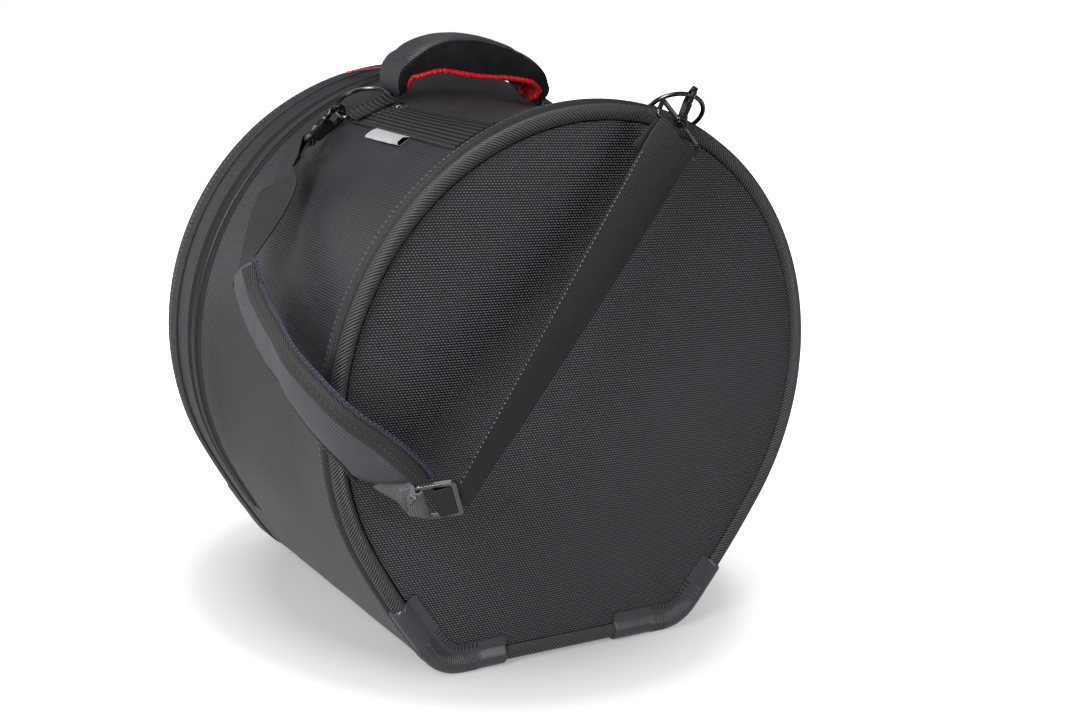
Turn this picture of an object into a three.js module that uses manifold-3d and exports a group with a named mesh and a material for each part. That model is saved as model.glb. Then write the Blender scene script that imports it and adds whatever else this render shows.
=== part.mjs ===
// A tom drum bag: a padded drum shell with a zipped lid at the rear, a wrapped carrying handle on the
// crown and a clip-on shoulder strap. Millimetres, +X right seen from the front, +Y to the rear, +Z up.
// The origin is on the flat underside of the shell, below the middle of the drum.

import * as THREE from "three";
import { mergeVertices } from "three/addons/utils/BufferGeometryUtils.js";
import Module from "manifold-3d";

const wasm = await Module();
wasm.setup();

const DEG = Math.PI / 180;

// Seam line: the inner edge of the piping, from which every layer of the wall is offset.
const roundRadius = 200;
const roundHalfAngle = 120.4 * DEG;
const sideLength = 102.3;
const sideTurn = 8.2 * DEG;
const cornerRadius = 25.6;
const roundSteps = 12;
const sideSteps = 2;
const cornerSteps = 4;

// Layers of the wall, from the lining outwards.
const gap = 0.3;
const clothThickness = 1.5;
const foamThickness = 10;
const liningInset = 0.6;
const panelFoamThickness = 8;

// Depth of the drum and its seams along Y.
const halfDepth = 150;
const zipFrontY = 76.2;
const zipMiddleY = 90.2;
const zipRearY = 104.2;
const foamUnderZip = 9;
const zipThickness = 1.2;
const coilHalfWidth = 4;
const coilHeight = 1.2;
const zipEndOnSide = 0.5;

// The empty bag sinks between its hoops: deepest on the crown, a little on the sides.
const crownSag = 17;
const crownSagAngle = 6 * DEG;
const crownSagHalfAngle = 42 * DEG;
const waistSag = 8;
const waistAngle = 92 * DEG;
const waistHalfAngle = 34 * DEG;
const sagKnots = [
  { y: -0.907 * halfDepth, share: 0 },
  { y: -0.733 * halfDepth, share: 0.45 },
  { y: -0.5 * halfDepth, share: 0.95 },
  { y: 0.2 * zipFrontY, share: 1 },
  { y: 0.656 * zipFrontY, share: 0.65 },
];

// Piping and its sewn flanges.
const pipeRadius = 5.75;
const pipeRise = 6.2;
const pipeInset = 1.5;
const flangeThickness = 0.9;
const frontFlangeEnd = 13.5;
const rearFlangeEnd = 23.8;

// Moulded corner guards.
const guardThickness = 1.95;
const guardLegThickness = 1.6;
const guardLegWidth = 7.2;
const guardShortArm = 38;
const guardLongArm = 51;
const guardRibs = 13;
const guardRibPitch = 4.2;
const guardRibHeight = 0.5;
const guardSlots = 14;
const guardSlotPitch = 3.5;
const guardSlotWidth = 1.6;
const guardSlotDepth = 3.4;
const guardSlotBendShare = 0.6;

// Ribbed bands on the crown.
const bandWidth = 38;
const bandThickness = 1.4;
const bandRibHeight = 0.5;
const bandRibs = 4;
const bandGap = 0.5;
const leftBandAngle = -29 * DEG;
const leftBandRearY = 17;
const rightBandAngle = 21 * DEG;
const rightBandSetback = 34;
const rightBandFrontY = rightBandSetback - halfDepth;

// Handle.
const handleMiddleY = 26;
const handleWidth = 46;
const handleLeftSetback = 22.69;
const handleRightSetback = 18.85;
const handleLeftAngle = leftBandAngle + handleLeftSetback / roundRadius;
const handleRightAngle = rightBandAngle - handleRightSetback / roundRadius;
const handleRise = 50;
const handleCoverThickness = 2.4;
const handleWebThickness = 2;
const handleLiningThickness = 1;
const handleFlapDepth = 27;
const handleFootDepth = 8;
const handleFootRadius = 18;
const handleFootLift = 2;
const handleFootPlay = 1.2;
const handleArch = [
  { across: 0, up: 0 },
  { across: -0.045, up: 0.25 },
  { across: -0.03, up: 0.5 },
  { across: 0.06, up: 0.72 },
  { across: 0.2, up: 0.92 },
  { across: 0.36, up: 1 },
  { across: 0.54, up: 0.97 },
  { across: 0.74, up: 0.83 },
  { across: 0.92, up: 0.58 },
  { across: 1.01, up: 0.28 },
  { across: 1, up: 0 },
];

// Rings, snap hooks and the slide.
const ringInnerWidth = 40;
const ringDepth = 28;
const ringWire = 3.8;
const leftRingLift = 16 * DEG;
const rightRingLift = 31 * DEG;
const ringStraight = 6;
const ringBend = 2.2;
const wireSides = 6;
const loopWall = 1.4;
const loopPlay = 0.35;
const loopTail = 12;
const loopSides = 12;
const hookThroat = 4.5;
const hookArm = 3;
const hookPlay = 0.85;
const hookThickness = 4.2;
const hookReach = 60.5;
const leftHookAngle = 172 * DEG;
const rightHookAngle = 100 * DEG;
const swivelWire = 4;
const gateGap = 0.6;
const slideLength = 28;
const slideWidth = 48;
const slideThickness = 3;
const slideRail = 4;
const slideBar = 4;
const slideRound = 3;
const windowRound = 1.2;

// Shoulder strap. Its places as it hangs are shares of the drum's half width, half depth and height;
// what a place has beyond -1 along the depth is a share of the standoff before the front panel.
const strapWidth = 38;
const strapThickness = 1.6;
const padWidth = 60;
const padThickness = 9;
const padEdgeThickness = 3;
const backingThickness = 3;
const leftFoldShare = [-0.7981, 0.0333, 0.8668];
const rightFoldShare = [0.0732, -1.9412, 0.9167];
const slideShare = [-0.7183, -2, 0.3776];
const strapStandoff = 51;

// Small pieces on the crown.
const rivetRadius = 4.8;
const rivetHeight = 1.8;
const labelLength = 62;
const labelWidth = 10.5;
const labelThickness = 1;
const labelRearY = -22;
const sliderLength = 15;
const sliderWidth = 10.5;
const leftSliderAngle = -9 * DEG;
const rightSliderAngle = -3.4 * DEG;
const pullLength = 44;
const pullWidth = 6;
const pullThickness = 1.8;
const pullBar = 2;
const leftPullTurn = 45 * DEG;
const rightPullTurn = 8 * DEG;

const X = new THREE.Vector3(1, 0, 0);
const Y = new THREE.Vector3(0, 1, 0);
const Z = new THREE.Vector3(0, 0, 1);

// The right half of the seam line, as arcs and lines that follow each other from the crown.
const sideRadius = sideLength / sideTurn;
const cornerTurn = Math.PI - roundHalfAngle - sideTurn;
const arcs = [
  { radius: roundRadius, turn: roundHalfAngle, steps: roundSteps },
  { radius: sideRadius, turn: sideTurn, steps: sideSteps },
  { radius: cornerRadius, turn: cornerTurn, steps: cornerSteps },
];
const roundEnd = roundRadius * roundHalfAngle;
const sideEnd = roundEnd + sideLength;
const cornerEnd = sideEnd + cornerRadius * cornerTurn;

// Where an arc of the seam line ends, and where any distance along it lies, before centring.
function arcStep(arc, heading, turn) {
  const x = arc.radius * (Math.sin(heading + turn) - Math.sin(heading));
  const z = arc.radius * (Math.cos(heading + turn) - Math.cos(heading));
  return { x, z };
}

function halfSeam(distance) {
  let x = 0;
  let z = roundRadius;
  let heading = 0;
  let left = distance;
  for (const arc of arcs) {
    const turn = Math.min(arc.turn, left / arc.radius);
    const step = arcStep(arc, heading, turn);
    x += step.x;
    z += step.z;
    heading += turn;
    left -= arc.radius * turn;
  }
  x -= Math.max(left, 0);
  return { x, z, heading };
}

const baseHalf = halfSeam(cornerEnd).x;
const halfSeamLength = cornerEnd + baseHalf;
const seamLength = 2 * halfSeamLength;
const wallOffset = liningInset * -1 + 2 * clothThickness + foamThickness + 2 * gap;
const centreZ = wallOffset - halfSeam(cornerEnd).z;

// A point of the seam line at a signed distance from the crown, with its outward direction.
function seamCurve(distance) {
  let s = distance;
  if (s > halfSeamLength) s -= seamLength;
  const side = Math.sign(s) || 1;
  const half = halfSeam(Math.abs(s));
  return {
    x: side * half.x,
    z: centreZ + half.z,
    nx: side * Math.sin(half.heading),
    nz: Math.cos(half.heading),
  };
}

// Stations where the faceted wall has its corners, from the left end of the base round to the right.
const halfStations = [];
let passed = 0;
for (const arc of arcs) {
  for (let i = 1; i <= arc.steps; i += 1) {
    halfStations.push(passed + (arc.radius * arc.turn * i) / arc.steps);
  }
  passed += arc.radius * arc.turn;
}
const stations = [...halfStations.map((s) => -s).reverse(), 0, ...halfStations];

function stationsBetween(from, to) {
  const turned = stations.map((s) => s + seamLength);
  const inside = [...stations, ...turned].filter((s) => s > from + gap && s < to - gap);
  return [from, ...inside, to];
}

// How far the wall sinks at a station, and the share of it at a depth.
function bump(angle, middle, half) {
  const share = (angle - middle) / half;
  return Math.abs(share) < 1 ? Math.cos((share * Math.PI) / 2) ** 2 : 0;
}

function sagAt(s) {
  const angle = s / roundRadius;
  const crown = crownSag * bump(angle, crownSagAngle, crownSagHalfAngle);
  const waist = waistSag * bump(Math.abs(angle), waistAngle, waistHalfAngle);
  return crown + waist;
}

function sagShare(y) {
  for (let i = 1; i < sagKnots.length; i += 1) {
    const a = sagKnots[i - 1];
    const b = sagKnots[i];
    if (y >= a.y && y <= b.y) return a.share + ((b.share - a.share) * (y - a.y)) / (b.y - a.y);
  }
  const last = sagKnots.at(-1);
  if (y > last.y && y < zipFrontY) return (last.share * (zipFrontY - y)) / (zipFrontY - last.y);
  return 0;
}

function stationPoint(s, y, offset) {
  const c = seamCurve(s);
  const out = offset - sagAt(s > halfSeamLength ? s - seamLength : s) * sagShare(y);
  return new THREE.Vector3(c.x + out * c.nx, y, c.z + out * c.nz);
}

// A point on the faceted wall: between two stations the wall is flat.
function wall(s, y, offset) {
  const all = [...stations, stations[0] + seamLength];
  const turned = s > all.at(-1) ? s - seamLength : s;
  let i = 0;
  while (i < all.length - 2 && all[i + 1] < turned) i += 1;
  const share = (turned - all[i]) / (all[i + 1] - all[i]);
  return stationPoint(all[i], y, offset).lerp(stationPoint(all[i + 1], y, offset), share);
}

// Along, across and out directions of the wall, as a frame for pieces that sit on it.
function wallFrame(s, y, offset, half, depthHalf) {
  const along = wall(s + half, y, offset).sub(wall(s - half, y, offset)).normalize();
  const slope = wall(s, y + depthHalf, offset).sub(wall(s, y - depthHalf, offset)).normalize();
  const out = new THREE.Vector3().crossVectors(along, slope).normalize();
  const across = new THREE.Vector3().crossVectors(out, along).normalize();
  return { origin: wall(s, y, offset), along, across, out };
}

function squared(vector, direction) {
  return vector.clone().addScaledVector(direction, -vector.dot(direction)).normalize();
}

function frameMatrix(origin, x, y, z) {
  return new THREE.Matrix4().makeBasis(x, y, z).setPosition(origin);
}

// Closed solids from points and faces, turned so that their faces point out.
function solid(points, faces) {
  let volume = 0;
  for (const [a, b, c] of faces) {
    volume += points[a].dot(new THREE.Vector3().crossVectors(points[b], points[c]));
  }
  const geometry = new THREE.BufferGeometry();
  const turned = volume < 0 ? faces.map(([a, b, c]) => [a, c, b]) : faces;
  const flat = points.flatMap((p) => [p.x, p.y, p.z]);
  geometry.setAttribute("position", new THREE.Float32BufferAttribute(flat, 3));
  geometry.setIndex(turned.flat());
  return geometry;
}

// A sheet: two matching grids of points joined round their edges, closed on itself along u if asked.
function sheet(us, vs, outer, inner, closed = false) {
  const points = [];
  for (const side of [outer, inner]) {
    for (const u of us) {
      for (const v of vs) points.push(side(u, v));
    }
  }
  const nv = vs.length;
  const half = us.length * nv;
  const faces = [];
  const cells = closed ? us.length : us.length - 1;
  for (let i = 0; i < cells; i += 1) {
    const k = (i + 1) % us.length;
    for (let j = 0; j < nv - 1; j += 1) {
      const [a, b, c, d] = [i * nv + j, k * nv + j, k * nv + j + 1, i * nv + j + 1];
      faces.push([a, b, c], [a, c, d]);
      faces.push([a + half, c + half, b + half], [a + half, d + half, c + half]);
    }
    for (const j of [0, nv - 1]) {
      const [a, b, c, d] = [i * nv + j, k * nv + j, k * nv + j + half, i * nv + j + half];
      faces.push(...(j === 0 ? [[a, c, b], [a, d, c]] : [[a, b, c], [a, c, d]]));
    }
  }
  if (!closed) {
    for (const i of [0, us.length - 1]) {
      for (let j = 0; j < nv - 1; j += 1) {
        const [a, b, c, d] = [i * nv + j, i * nv + j + 1, i * nv + j + 1 + half, i * nv + j + half];
        faces.push(...(i === 0 ? [[a, b, c], [a, c, d]] : [[a, c, b], [a, d, c]]));
      }
    }
  }
  return solid(points, faces);
}

// A profile carried along a row of places: place(point, k) gives the profile's point there.
function sweep(profile, count, place, closed = false) {
  const points = [];
  for (let k = 0; k < count; k += 1) {
    for (const p of profile) points.push(place(p, k));
  }
  const n = profile.length;
  const faces = [];
  for (let k = 0; k < (closed ? count : count - 1); k += 1) {
    const m = (k + 1) % count;
    for (let i = 0; i < n; i += 1) {
      const j = (i + 1) % n;
      faces.push([k * n + i, m * n + i, m * n + j], [k * n + i, m * n + j, k * n + j]);
    }
  }
  if (!closed) {
    const flat = profile.map((p) => new THREE.Vector2(p.a, p.b));
    const turned = THREE.ShapeUtils.isClockWise(flat);
    for (const [a, b, c] of THREE.ShapeUtils.triangulateShape(flat, [])) {
      const last = (count - 1) * n;
      faces.push(turned ? [a, c, b] : [a, b, c]);
      faces.push(turned ? [a + last, b + last, c + last] : [a + last, c + last, b + last]);
    }
  }
  return solid(points, faces);
}

function circleProfile(radius, sides) {
  const profile = [];
  for (let i = 0; i < sides; i += 1) {
    const angle = (2 * Math.PI * i) / sides;
    profile.push({ a: radius * Math.cos(angle), b: radius * Math.sin(angle) });
  }
  return profile;
}

// A round wire closed on itself in one plane.
function wireLoop(path, planeNormal, radius, sides) {
  const n = path.length;
  const place = (p, k) => {
    const tangent = path[(k + 1) % n].clone().sub(path[(k + n - 1) % n]).normalize();
    const side = new THREE.Vector3().crossVectors(tangent, planeNormal).normalize();
    return path[k].clone().addScaledVector(side, p.a).addScaledVector(planeNormal, p.b);
  };
  return sweep(circleProfile(radius, sides), n, place, true);
}

// A flat outline given thickness along the third direction of a frame, centred on it.
function plate(outline, thickness, matrix, holes = []) {
  const shape = new THREE.Shape(outline.map(([x, y]) => new THREE.Vector2(x, y)));
  for (const hole of holes) shape.holes.push(new THREE.Path(hole.map(([x, y]) => new THREE.Vector2(x, y))));
  const geometry = new THREE.ExtrudeGeometry(shape, { depth: thickness, bevelEnabled: false });
  geometry.translate(0, 0, -thickness / 2);
  return geometry.applyMatrix4(matrix);
}

function arcPoints(cx, cy, radius, from, to, steps) {
  const points = [];
  for (let i = 0; i <= steps; i += 1) {
    const angle = from + ((to - from) * i) / steps;
    points.push([cx + radius * Math.cos(angle), cy + radius * Math.sin(angle)]);
  }
  return points;
}

function roundedBox(length, width, radius, steps = 3) {
  const x = length / 2 - radius;
  const y = width / 2 - radius;
  return [
    ...arcPoints(x, y, radius, 0, Math.PI / 2, steps),
    ...arcPoints(-x, y, radius, Math.PI / 2, Math.PI, steps),
    ...arcPoints(-x, -y, radius, Math.PI, 1.5 * Math.PI, steps),
    ...arcPoints(x, -y, radius, 1.5 * Math.PI, 2 * Math.PI, steps),
  ];
}

// Joining and cutting closed meshes.
function toManifold(geometry) {
  const bare = geometry.clone();
  bare.deleteAttribute("normal");
  bare.deleteAttribute("uv");
  const merged = mergeVertices(bare, 1e-4);
  return new wasm.Manifold(
    new wasm.Mesh({
      numProp: 3,
      vertProperties: new Float32Array(merged.attributes.position.array),
      triVerts: new Uint32Array(merged.index.array),
    }),
  );
}

function fromManifold(body) {
  const mesh = body.getMesh();
  const geometry = new THREE.BufferGeometry();
  geometry.setAttribute("position", new THREE.BufferAttribute(new Float32Array(mesh.vertProperties), 3));
  geometry.setIndex(new THREE.BufferAttribute(new Uint32Array(mesh.triVerts), 1));
  return geometry;
}

function join(first, ...others) {
  return fromManifold(others.reduce((body, other) => body.add(toManifold(other)), toManifold(first)));
}

function cut(first, ...others) {
  return fromManifold(others.reduce((body, other) => body.subtract(toManifold(other)), toManifold(first)));
}

const bag = new THREE.Group();

function add(name, geometry, colour, roughness, metalness = 0) {
  const material = new THREE.MeshStandardMaterial({ color: colour, roughness, metalness });
  const mesh = new THREE.Mesh(geometry, material);
  mesh.name = name;
  bag.add(mesh);
}

const cloth = 0x232327;
const lightCloth = 0x303036;
const foamGrey = 0x4a4a4c;
const liningBlack = 0x18181a;
const mouldedBlack = 0x1d1d1f;
const gunmetal = 0x6b655c;
const red = 0xc8242a;
const white = 0xf0efe8;
const webGrey = 0x8c8d90;

// Wall layers: offsets of the lining, the foam and the cover.
const liningOuter = -liningInset + clothThickness;
const foamInner = liningOuter + gap;
const foamOuter = foamInner + foamThickness;
const coverInner = foamOuter + gap;
const coverOuter = coverInner + clothThickness;
const panelInnerY = halfDepth - clothThickness - gap - panelFoamThickness;
const liningFrontY = panelInnerY - gap - clothThickness - gap;
const wallStartY = -panelInnerY;

function wallRing(fromY, toY, inner, outer) {
  const ys = [fromY, ...sagKnots.map((k) => k.y).filter((y) => y > fromY + gap && y < toY - gap), toY];
  return sheet(stations, ys, (s, y) => stationPoint(s, y, outer), (s, y) => stationPoint(s, y, inner), true);
}

const coverRearY = zipFrontY - gap;
const lidCoverFrontY = zipRearY + gap;
const foamRearY = zipFrontY + foamUnderZip;
const lidFoamFrontY = zipRearY - foamUnderZip;
add("shell_cover", wallRing(wallStartY, coverRearY, coverInner, coverOuter), cloth, 0.8);
add("shell_foam", wallRing(wallStartY, foamRearY, foamInner, foamOuter), foamGrey, 0.95);
add("shell_lining", wallRing(-liningFrontY, foamRearY, -liningInset, liningOuter), liningBlack, 0.7);
add("lid_band_cover", wallRing(lidCoverFrontY, panelInnerY, coverInner, coverOuter), cloth, 0.8);
add("lid_band_foam", wallRing(lidFoamFrontY, panelInnerY, foamInner, foamOuter), foamGrey, 0.95);
add("lid_band_lining", wallRing(lidFoamFrontY, liningFrontY, -liningInset, liningOuter), liningBlack, 0.7);

// Round panels: cover, foam and lining, each a plate with the seam's outline.
function panel(middleY, thickness, offset) {
  const outline = stations.map((s) => {
    const p = stationPoint(s, -halfDepth, offset);
    return [p.x, p.z];
  });
  const middle = new THREE.Vector3(0, middleY, 0);
  return plate(outline, thickness, frameMatrix(middle, X, Z, Y.clone().negate()));
}

for (const [side, sign] of [["front", -1], ["rear", 1]]) {
  const coverY = halfDepth - clothThickness / 2;
  const foamY = halfDepth - clothThickness - gap - panelFoamThickness / 2;
  const liningY = panelInnerY - gap - clothThickness / 2;
  add(`${side}_cover`, panel(sign * coverY, clothThickness, -gap), lightCloth, 0.75);
  add(`${side}_foam`, panel(sign * foamY, panelFoamThickness, -gap), foamGrey, 0.95);
  add(`${side}_lining`, panel(sign * liningY, clothThickness, liningOuter), liningBlack, 0.7);
}

// Piping: a round cord in folded cloth, with a flange sewn down on the wall. The profile is drawn for
// the front seam, a = distance inwards from the panel's face, b = offset from the seam line.
function pipingProfile(flangeEnd) {
  const round = (angle) => ({
    a: pipeInset + pipeRadius * Math.sin(angle * DEG),
    b: pipeRise + pipeRadius * Math.cos(angle * DEG),
  });
  const flangeOuter = coverOuter + gap + flangeThickness;
  const webA = pipeInset + pipeRadius * Math.sin(48 * DEG);
  const wallA = halfDepth - panelInnerY - gap;
  return [
    round(-135), round(-90), round(-45), round(0), round(33),
    { a: webA, b: flangeOuter },
    { a: flangeEnd, b: flangeOuter },
    { a: flangeEnd, b: coverOuter + gap },
    { a: wallA - gap, b: coverOuter + gap },
    { a: wallA - gap, b: pipeRise + pipeRadius / 2 },
    round(135), round(180),
  ];
}

function piping(flangeEnd, sign) {
  const profile = pipingProfile(flangeEnd);
  const place = (p, k) => {
    const c = seamCurve(stations[k]);
    return new THREE.Vector3(c.x + p.b * c.nx, sign * (halfDepth - p.a), c.z + p.b * c.nz);
  };
  return sweep(profile, stations.length, place, true);
}

add("front_piping", piping(frontFlangeEnd, -1), cloth, 0.7);
add("rear_piping", piping(rearFlangeEnd, 1), cloth, 0.7);

// Corner guards: a moulded shell that hugs the piping, ribbed over the bend, with a flat leg on the
// panel whose free edge is slotted so that it follows the corner.
const guardInner = pipeRadius + gap;
const guardOuter = guardInner + guardThickness;
const cornerMiddle = sideEnd + (cornerRadius * cornerTurn) / 2;

function guardProfile() {
  const at = (radius, angle) => ({
    a: pipeInset - radius * Math.sin(angle * DEG),
    b: pipeRise + radius * Math.cos(angle * DEG),
  });
  const legFace = -gap;
  const legOuter = legFace - guardLegThickness;
  const legTop = pipeRise - guardOuter;
  return [
    { ...at(guardOuter, -24), bead: 0 },
    { ...at(guardOuter, 15), bead: 1 },
    { ...at(guardOuter, 60), bead: 1 },
    { ...at(guardOuter, 105), bead: 1 },
    { a: legOuter, b: legTop, bead: 0 },
    { a: legOuter, b: legTop - guardLegWidth, bead: 0 },
    { a: legFace, b: legTop - guardLegWidth, bead: 0 },
    { a: legFace, b: legTop + gap, bead: 0 },
    { ...at(guardInner / Math.cos(22 * DEG), 105), bead: 0 },
    { ...at(guardInner / Math.cos(22 * DEG), 60), bead: 0 },
    { ...at(guardInner / Math.cos(22 * DEG), 15), bead: 0 },
    { ...at(guardInner, -24), bead: 0 },
  ];
}

function cornerGuard(side, end, sideArm, baseArm) {
  const from = cornerMiddle - cornerRadius * cornerTurn * 0.5 - sideArm;
  const to = cornerMiddle + cornerRadius * cornerTurn * 0.5 + baseArm;
  const ribbedFrom = cornerMiddle - (guardRibs * guardRibPitch) / 2;
  const stops = [{ s: from, rib: 0 }, { s: (from + ribbedFrom) / 2, rib: 0 }];
  for (let i = 0; i < guardRibs; i += 1) {
    stops.push({ s: ribbedFrom + i * guardRibPitch, rib: 0 });
    stops.push({ s: ribbedFrom + (i + 0.5) * guardRibPitch, rib: guardRibHeight });
  }
  stops.push({ s: ribbedFrom + guardRibs * guardRibPitch, rib: 0 });
  stops.push({ s: to, rib: 0 });
  const place = (p, k) => {
    const c = seamCurve(side * stops[k].s);
    const out = p.b + p.bead * (p.b > pipeRise + pipeRadius ? 0 : stops[k].rib);
    const forward = p.a - p.bead * stops[k].rib * (p.a < -pipeRadius ? 1 : 0);
    return new THREE.Vector3(c.x + out * c.nx, end * (halfDepth - forward), c.z + out * c.nz);
  };
  const body = sweep(guardProfile(), stops.length, place);
  const slots = [];
  for (let i = 0; i < guardSlots; i += 1) {
    const c = seamCurve(side * (cornerMiddle + (i - (guardSlots - 1) / 2) * guardSlotPitch));
    const out = pipeRise - guardOuter - guardLegWidth;
    const y = end * (halfDepth + guardLegThickness / 2);
    const origin = new THREE.Vector3(c.x + out * c.nx, y, c.z + out * c.nz);
    const normal = new THREE.Vector3(c.nx, 0, c.nz);
    const along = new THREE.Vector3().crossVectors(Y, normal);
    const box = roundedBox(guardSlotWidth * slotTaper(i), 2 * guardSlotDepth, guardSlotWidth / 4, 1);
    slots.push(plate(box, 2 * guardLegThickness, frameMatrix(origin, along, normal, Y.clone().negate())));
  }
  return cut(body, ...slots);
}

// Slots over the bend stand closer at the leg's free edge, so they are cut narrower there.
function slotTaper(index) {
  const fromMiddle = Math.abs(index - (guardSlots - 1) / 2) * guardSlotPitch;
  return fromMiddle < (cornerRadius * cornerTurn) / 2 ? guardSlotBendShare : 1;
}

for (const [place, end] of [["front", -1], ["rear", 1]]) {
  add(`${place}_left_corner_guard`, cornerGuard(-1, end, guardLongArm, guardShortArm), mouldedBlack, 0.45);
  add(`${place}_right_corner_guard`, cornerGuard(1, end, guardShortArm, guardLongArm), mouldedBlack, 0.45);
}

// Zip halves over the crown and the cloth hinge round the corners and the base.
const zipEnd = roundEnd + zipEndOnSide * sideLength;
const tapeOuter = coverOuter - (clothThickness - zipThickness) / 2;
const tapeInner = tapeOuter - zipThickness;

function zipHalf(edgeY, middleY) {
  const sign = Math.sign(edgeY - middleY);
  const coilY = middleY + sign * coilHalfWidth;
  const ys = [edgeY, coilY + (sign * coilHeight) / 2, coilY, middleY].sort((a, b) => a - b);
  const rise = (y) => (Math.abs(y - middleY) <= coilHalfWidth + gap / 2 ? coilHeight : 0);
  const outer = (s, y) => wall(s, y, tapeOuter + rise(y));
  const inner = (s, y) => wall(s, y, tapeInner);
  return sheet(stationsBetween(-zipEnd, zipEnd), ys, outer, inner);
}

function hingeHalf(fromY, toY) {
  const outer = (s, y) => wall(s, y, tapeOuter);
  const inner = (s, y) => wall(s, y, tapeInner);
  return sheet(stationsBetween(zipEnd + gap, seamLength - zipEnd - gap), [fromY, toY], outer, inner);
}

add("body_zip_tape", zipHalf(zipFrontY, zipMiddleY - gap / 2), cloth, 0.6);
add("lid_zip_tape", zipHalf(zipRearY, zipMiddleY + gap / 2), cloth, 0.6);
add("hinge_strip", hingeHalf(zipFrontY, zipMiddleY - gap / 2), cloth, 0.85);
add("lid_hinge_strip", hingeHalf(zipMiddleY + gap / 2, zipRearY), cloth, 0.85);

// Bands: ribbed webbing sewn down on the crown, trimmed by the wall's own space.
const wallSpace = wallRing(wallStartY, coverRearY, coverInner, coverOuter + gap);

function band(angle, fromY, toY) {
  const middle = angle * roundRadius;
  const half = (bandWidth / 2) * (roundRadius / (roundRadius + coverOuter));
  const rib = (2 * half) / (2 * bandRibs + 1);
  const across = [];
  for (let i = 0; i <= 2 * bandRibs + 1; i += 1) across.push({ s: middle - half + i * rib, step: i });
  const lines = [];
  for (const { s, step } of across) {
    const low = { s, height: 0 };
    const high = { s, height: bandRibHeight };
    if (step === 0 || step === 2 * bandRibs + 1) lines.push(low);
    else lines.push(...(step % 2 === 1 ? [{ ...low, s: s - gap / 2 }, { ...high, s: s + gap / 2 }]
      : [{ ...high, s: s - gap / 2 }, { ...low, s: s + gap / 2 }]));
  }
  const ys = [fromY, ...sagKnots.map((k) => k.y).filter((y) => y > fromY + gap && y < toY - gap), toY];
  const base = coverOuter + bandGap;
  const high = (l, y) => wall(l.s, y, base + bandThickness + l.height);
  return cut(sheet(lines, ys, high, (l, y) => wall(l.s, y, base)), wallSpace);
}

const bandFrontY = frontFlangeEnd - halfDepth + gap;
const bandTop = coverOuter + bandGap + bandThickness + bandRibHeight;
add("left_band", band(leftBandAngle, bandFrontY, leftBandRearY), cloth, 0.7);
add("right_band", band(rightBandAngle, rightBandFrontY, coverRearY), cloth, 0.7);

// The end of each band is folded round the bar of its ring and sewn down on the band.
const loopInner = ringWire / 2 + loopPlay;
const loopOuter = loopInner + loopWall;

function ringSeat(angle, bandEndY, sign) {
  const y = bandEndY + sign * (loopOuter + 2 * gap);
  const half = bandWidth / 2;
  const seat = wallFrame(angle * roundRadius, y, coverOuter, half, loopTail);
  seat.origin.addScaledVector(seat.out, bandGap + loopOuter);
  seat.sign = sign;
  return seat;
}

function ringLoop(seat) {
  const tailLow = bandTop - coverOuter + 2 * gap - bandGap - loopOuter;
  const tailHigh = tailLow + loopWall;
  const tailStart = -seat.sign * (loopInner + loopWall / 2);
  const tailEnd = tailStart - seat.sign * loopTail;
  const circle = (radius) => arcPoints(0, 0, radius, 0, 2 * Math.PI, loopSides).slice(1);
  const frame = frameMatrix(seat.origin, seat.across, seat.out, seat.along);
  const fold = plate(circle(loopOuter), bandWidth, frame, [circle(loopInner)]);
  const tail = [[tailEnd, tailLow], [tailStart, tailLow], [tailStart, tailHigh], [tailEnd, tailHigh]];
  return join(fold, plate(tail, bandWidth, frame));
}

const leftSeat = ringSeat(leftBandAngle, leftBandRearY, 1);
const rightSeat = ringSeat(rightBandAngle, rightBandFrontY, -1);
add("left_ring_loop", ringLoop(leftSeat), cloth, 0.7);
add("right_ring_loop", ringLoop(rightSeat), cloth, 0.7);

// Rings: a straight bar in the loop and a round bow, standing up from the wall.
function ringFrame(seat, lift) {
  const bow = seat.across.clone().multiplyScalar(seat.sign * Math.cos(lift));
  bow.addScaledVector(seat.out, Math.sin(lift));
  const normal = new THREE.Vector3().crossVectors(seat.along, bow).normalize();
  return { origin: seat.origin, along: seat.along, bow, normal };
}

function ringPoint(frame, angle) {
  const half = (ringInnerWidth + ringWire) / 2;
  const bowRise = ringDepth - ringStraight;
  return frame.origin.clone()
    .addScaledVector(frame.along, half * Math.cos(angle))
    .addScaledVector(frame.bow, ringStraight + bowRise * Math.sin(angle));
}

function ring(frame) {
  const half = (ringInnerWidth + ringWire) / 2;
  const path = [];
  for (let i = 0; i <= 10; i += 1) path.push(ringPoint(frame, (Math.PI * i) / 10));
  const bend = ringBend;
  for (const [along, bow] of [[-half, bend], [-half + bend / 3, bend / 4], [-half + bend, 0],
    [half - bend, 0], [half - bend / 3, bend / 4], [half, bend]]) {
    path.push(frame.origin.clone().addScaledVector(frame.along, along).addScaledVector(frame.bow, bow));
  }
  return wireLoop(path, frame.normal, ringWire / 2, wireSides);
}

const leftRing = ringFrame(leftSeat, leftRingLift);
const rightRing = ringFrame(rightSeat, rightRingLift);
add("left_ring", ring(leftRing), gunmetal, 0.3, 0.9);
add("right_ring", ring(rightRing), gunmetal, 0.3, 0.9);

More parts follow.
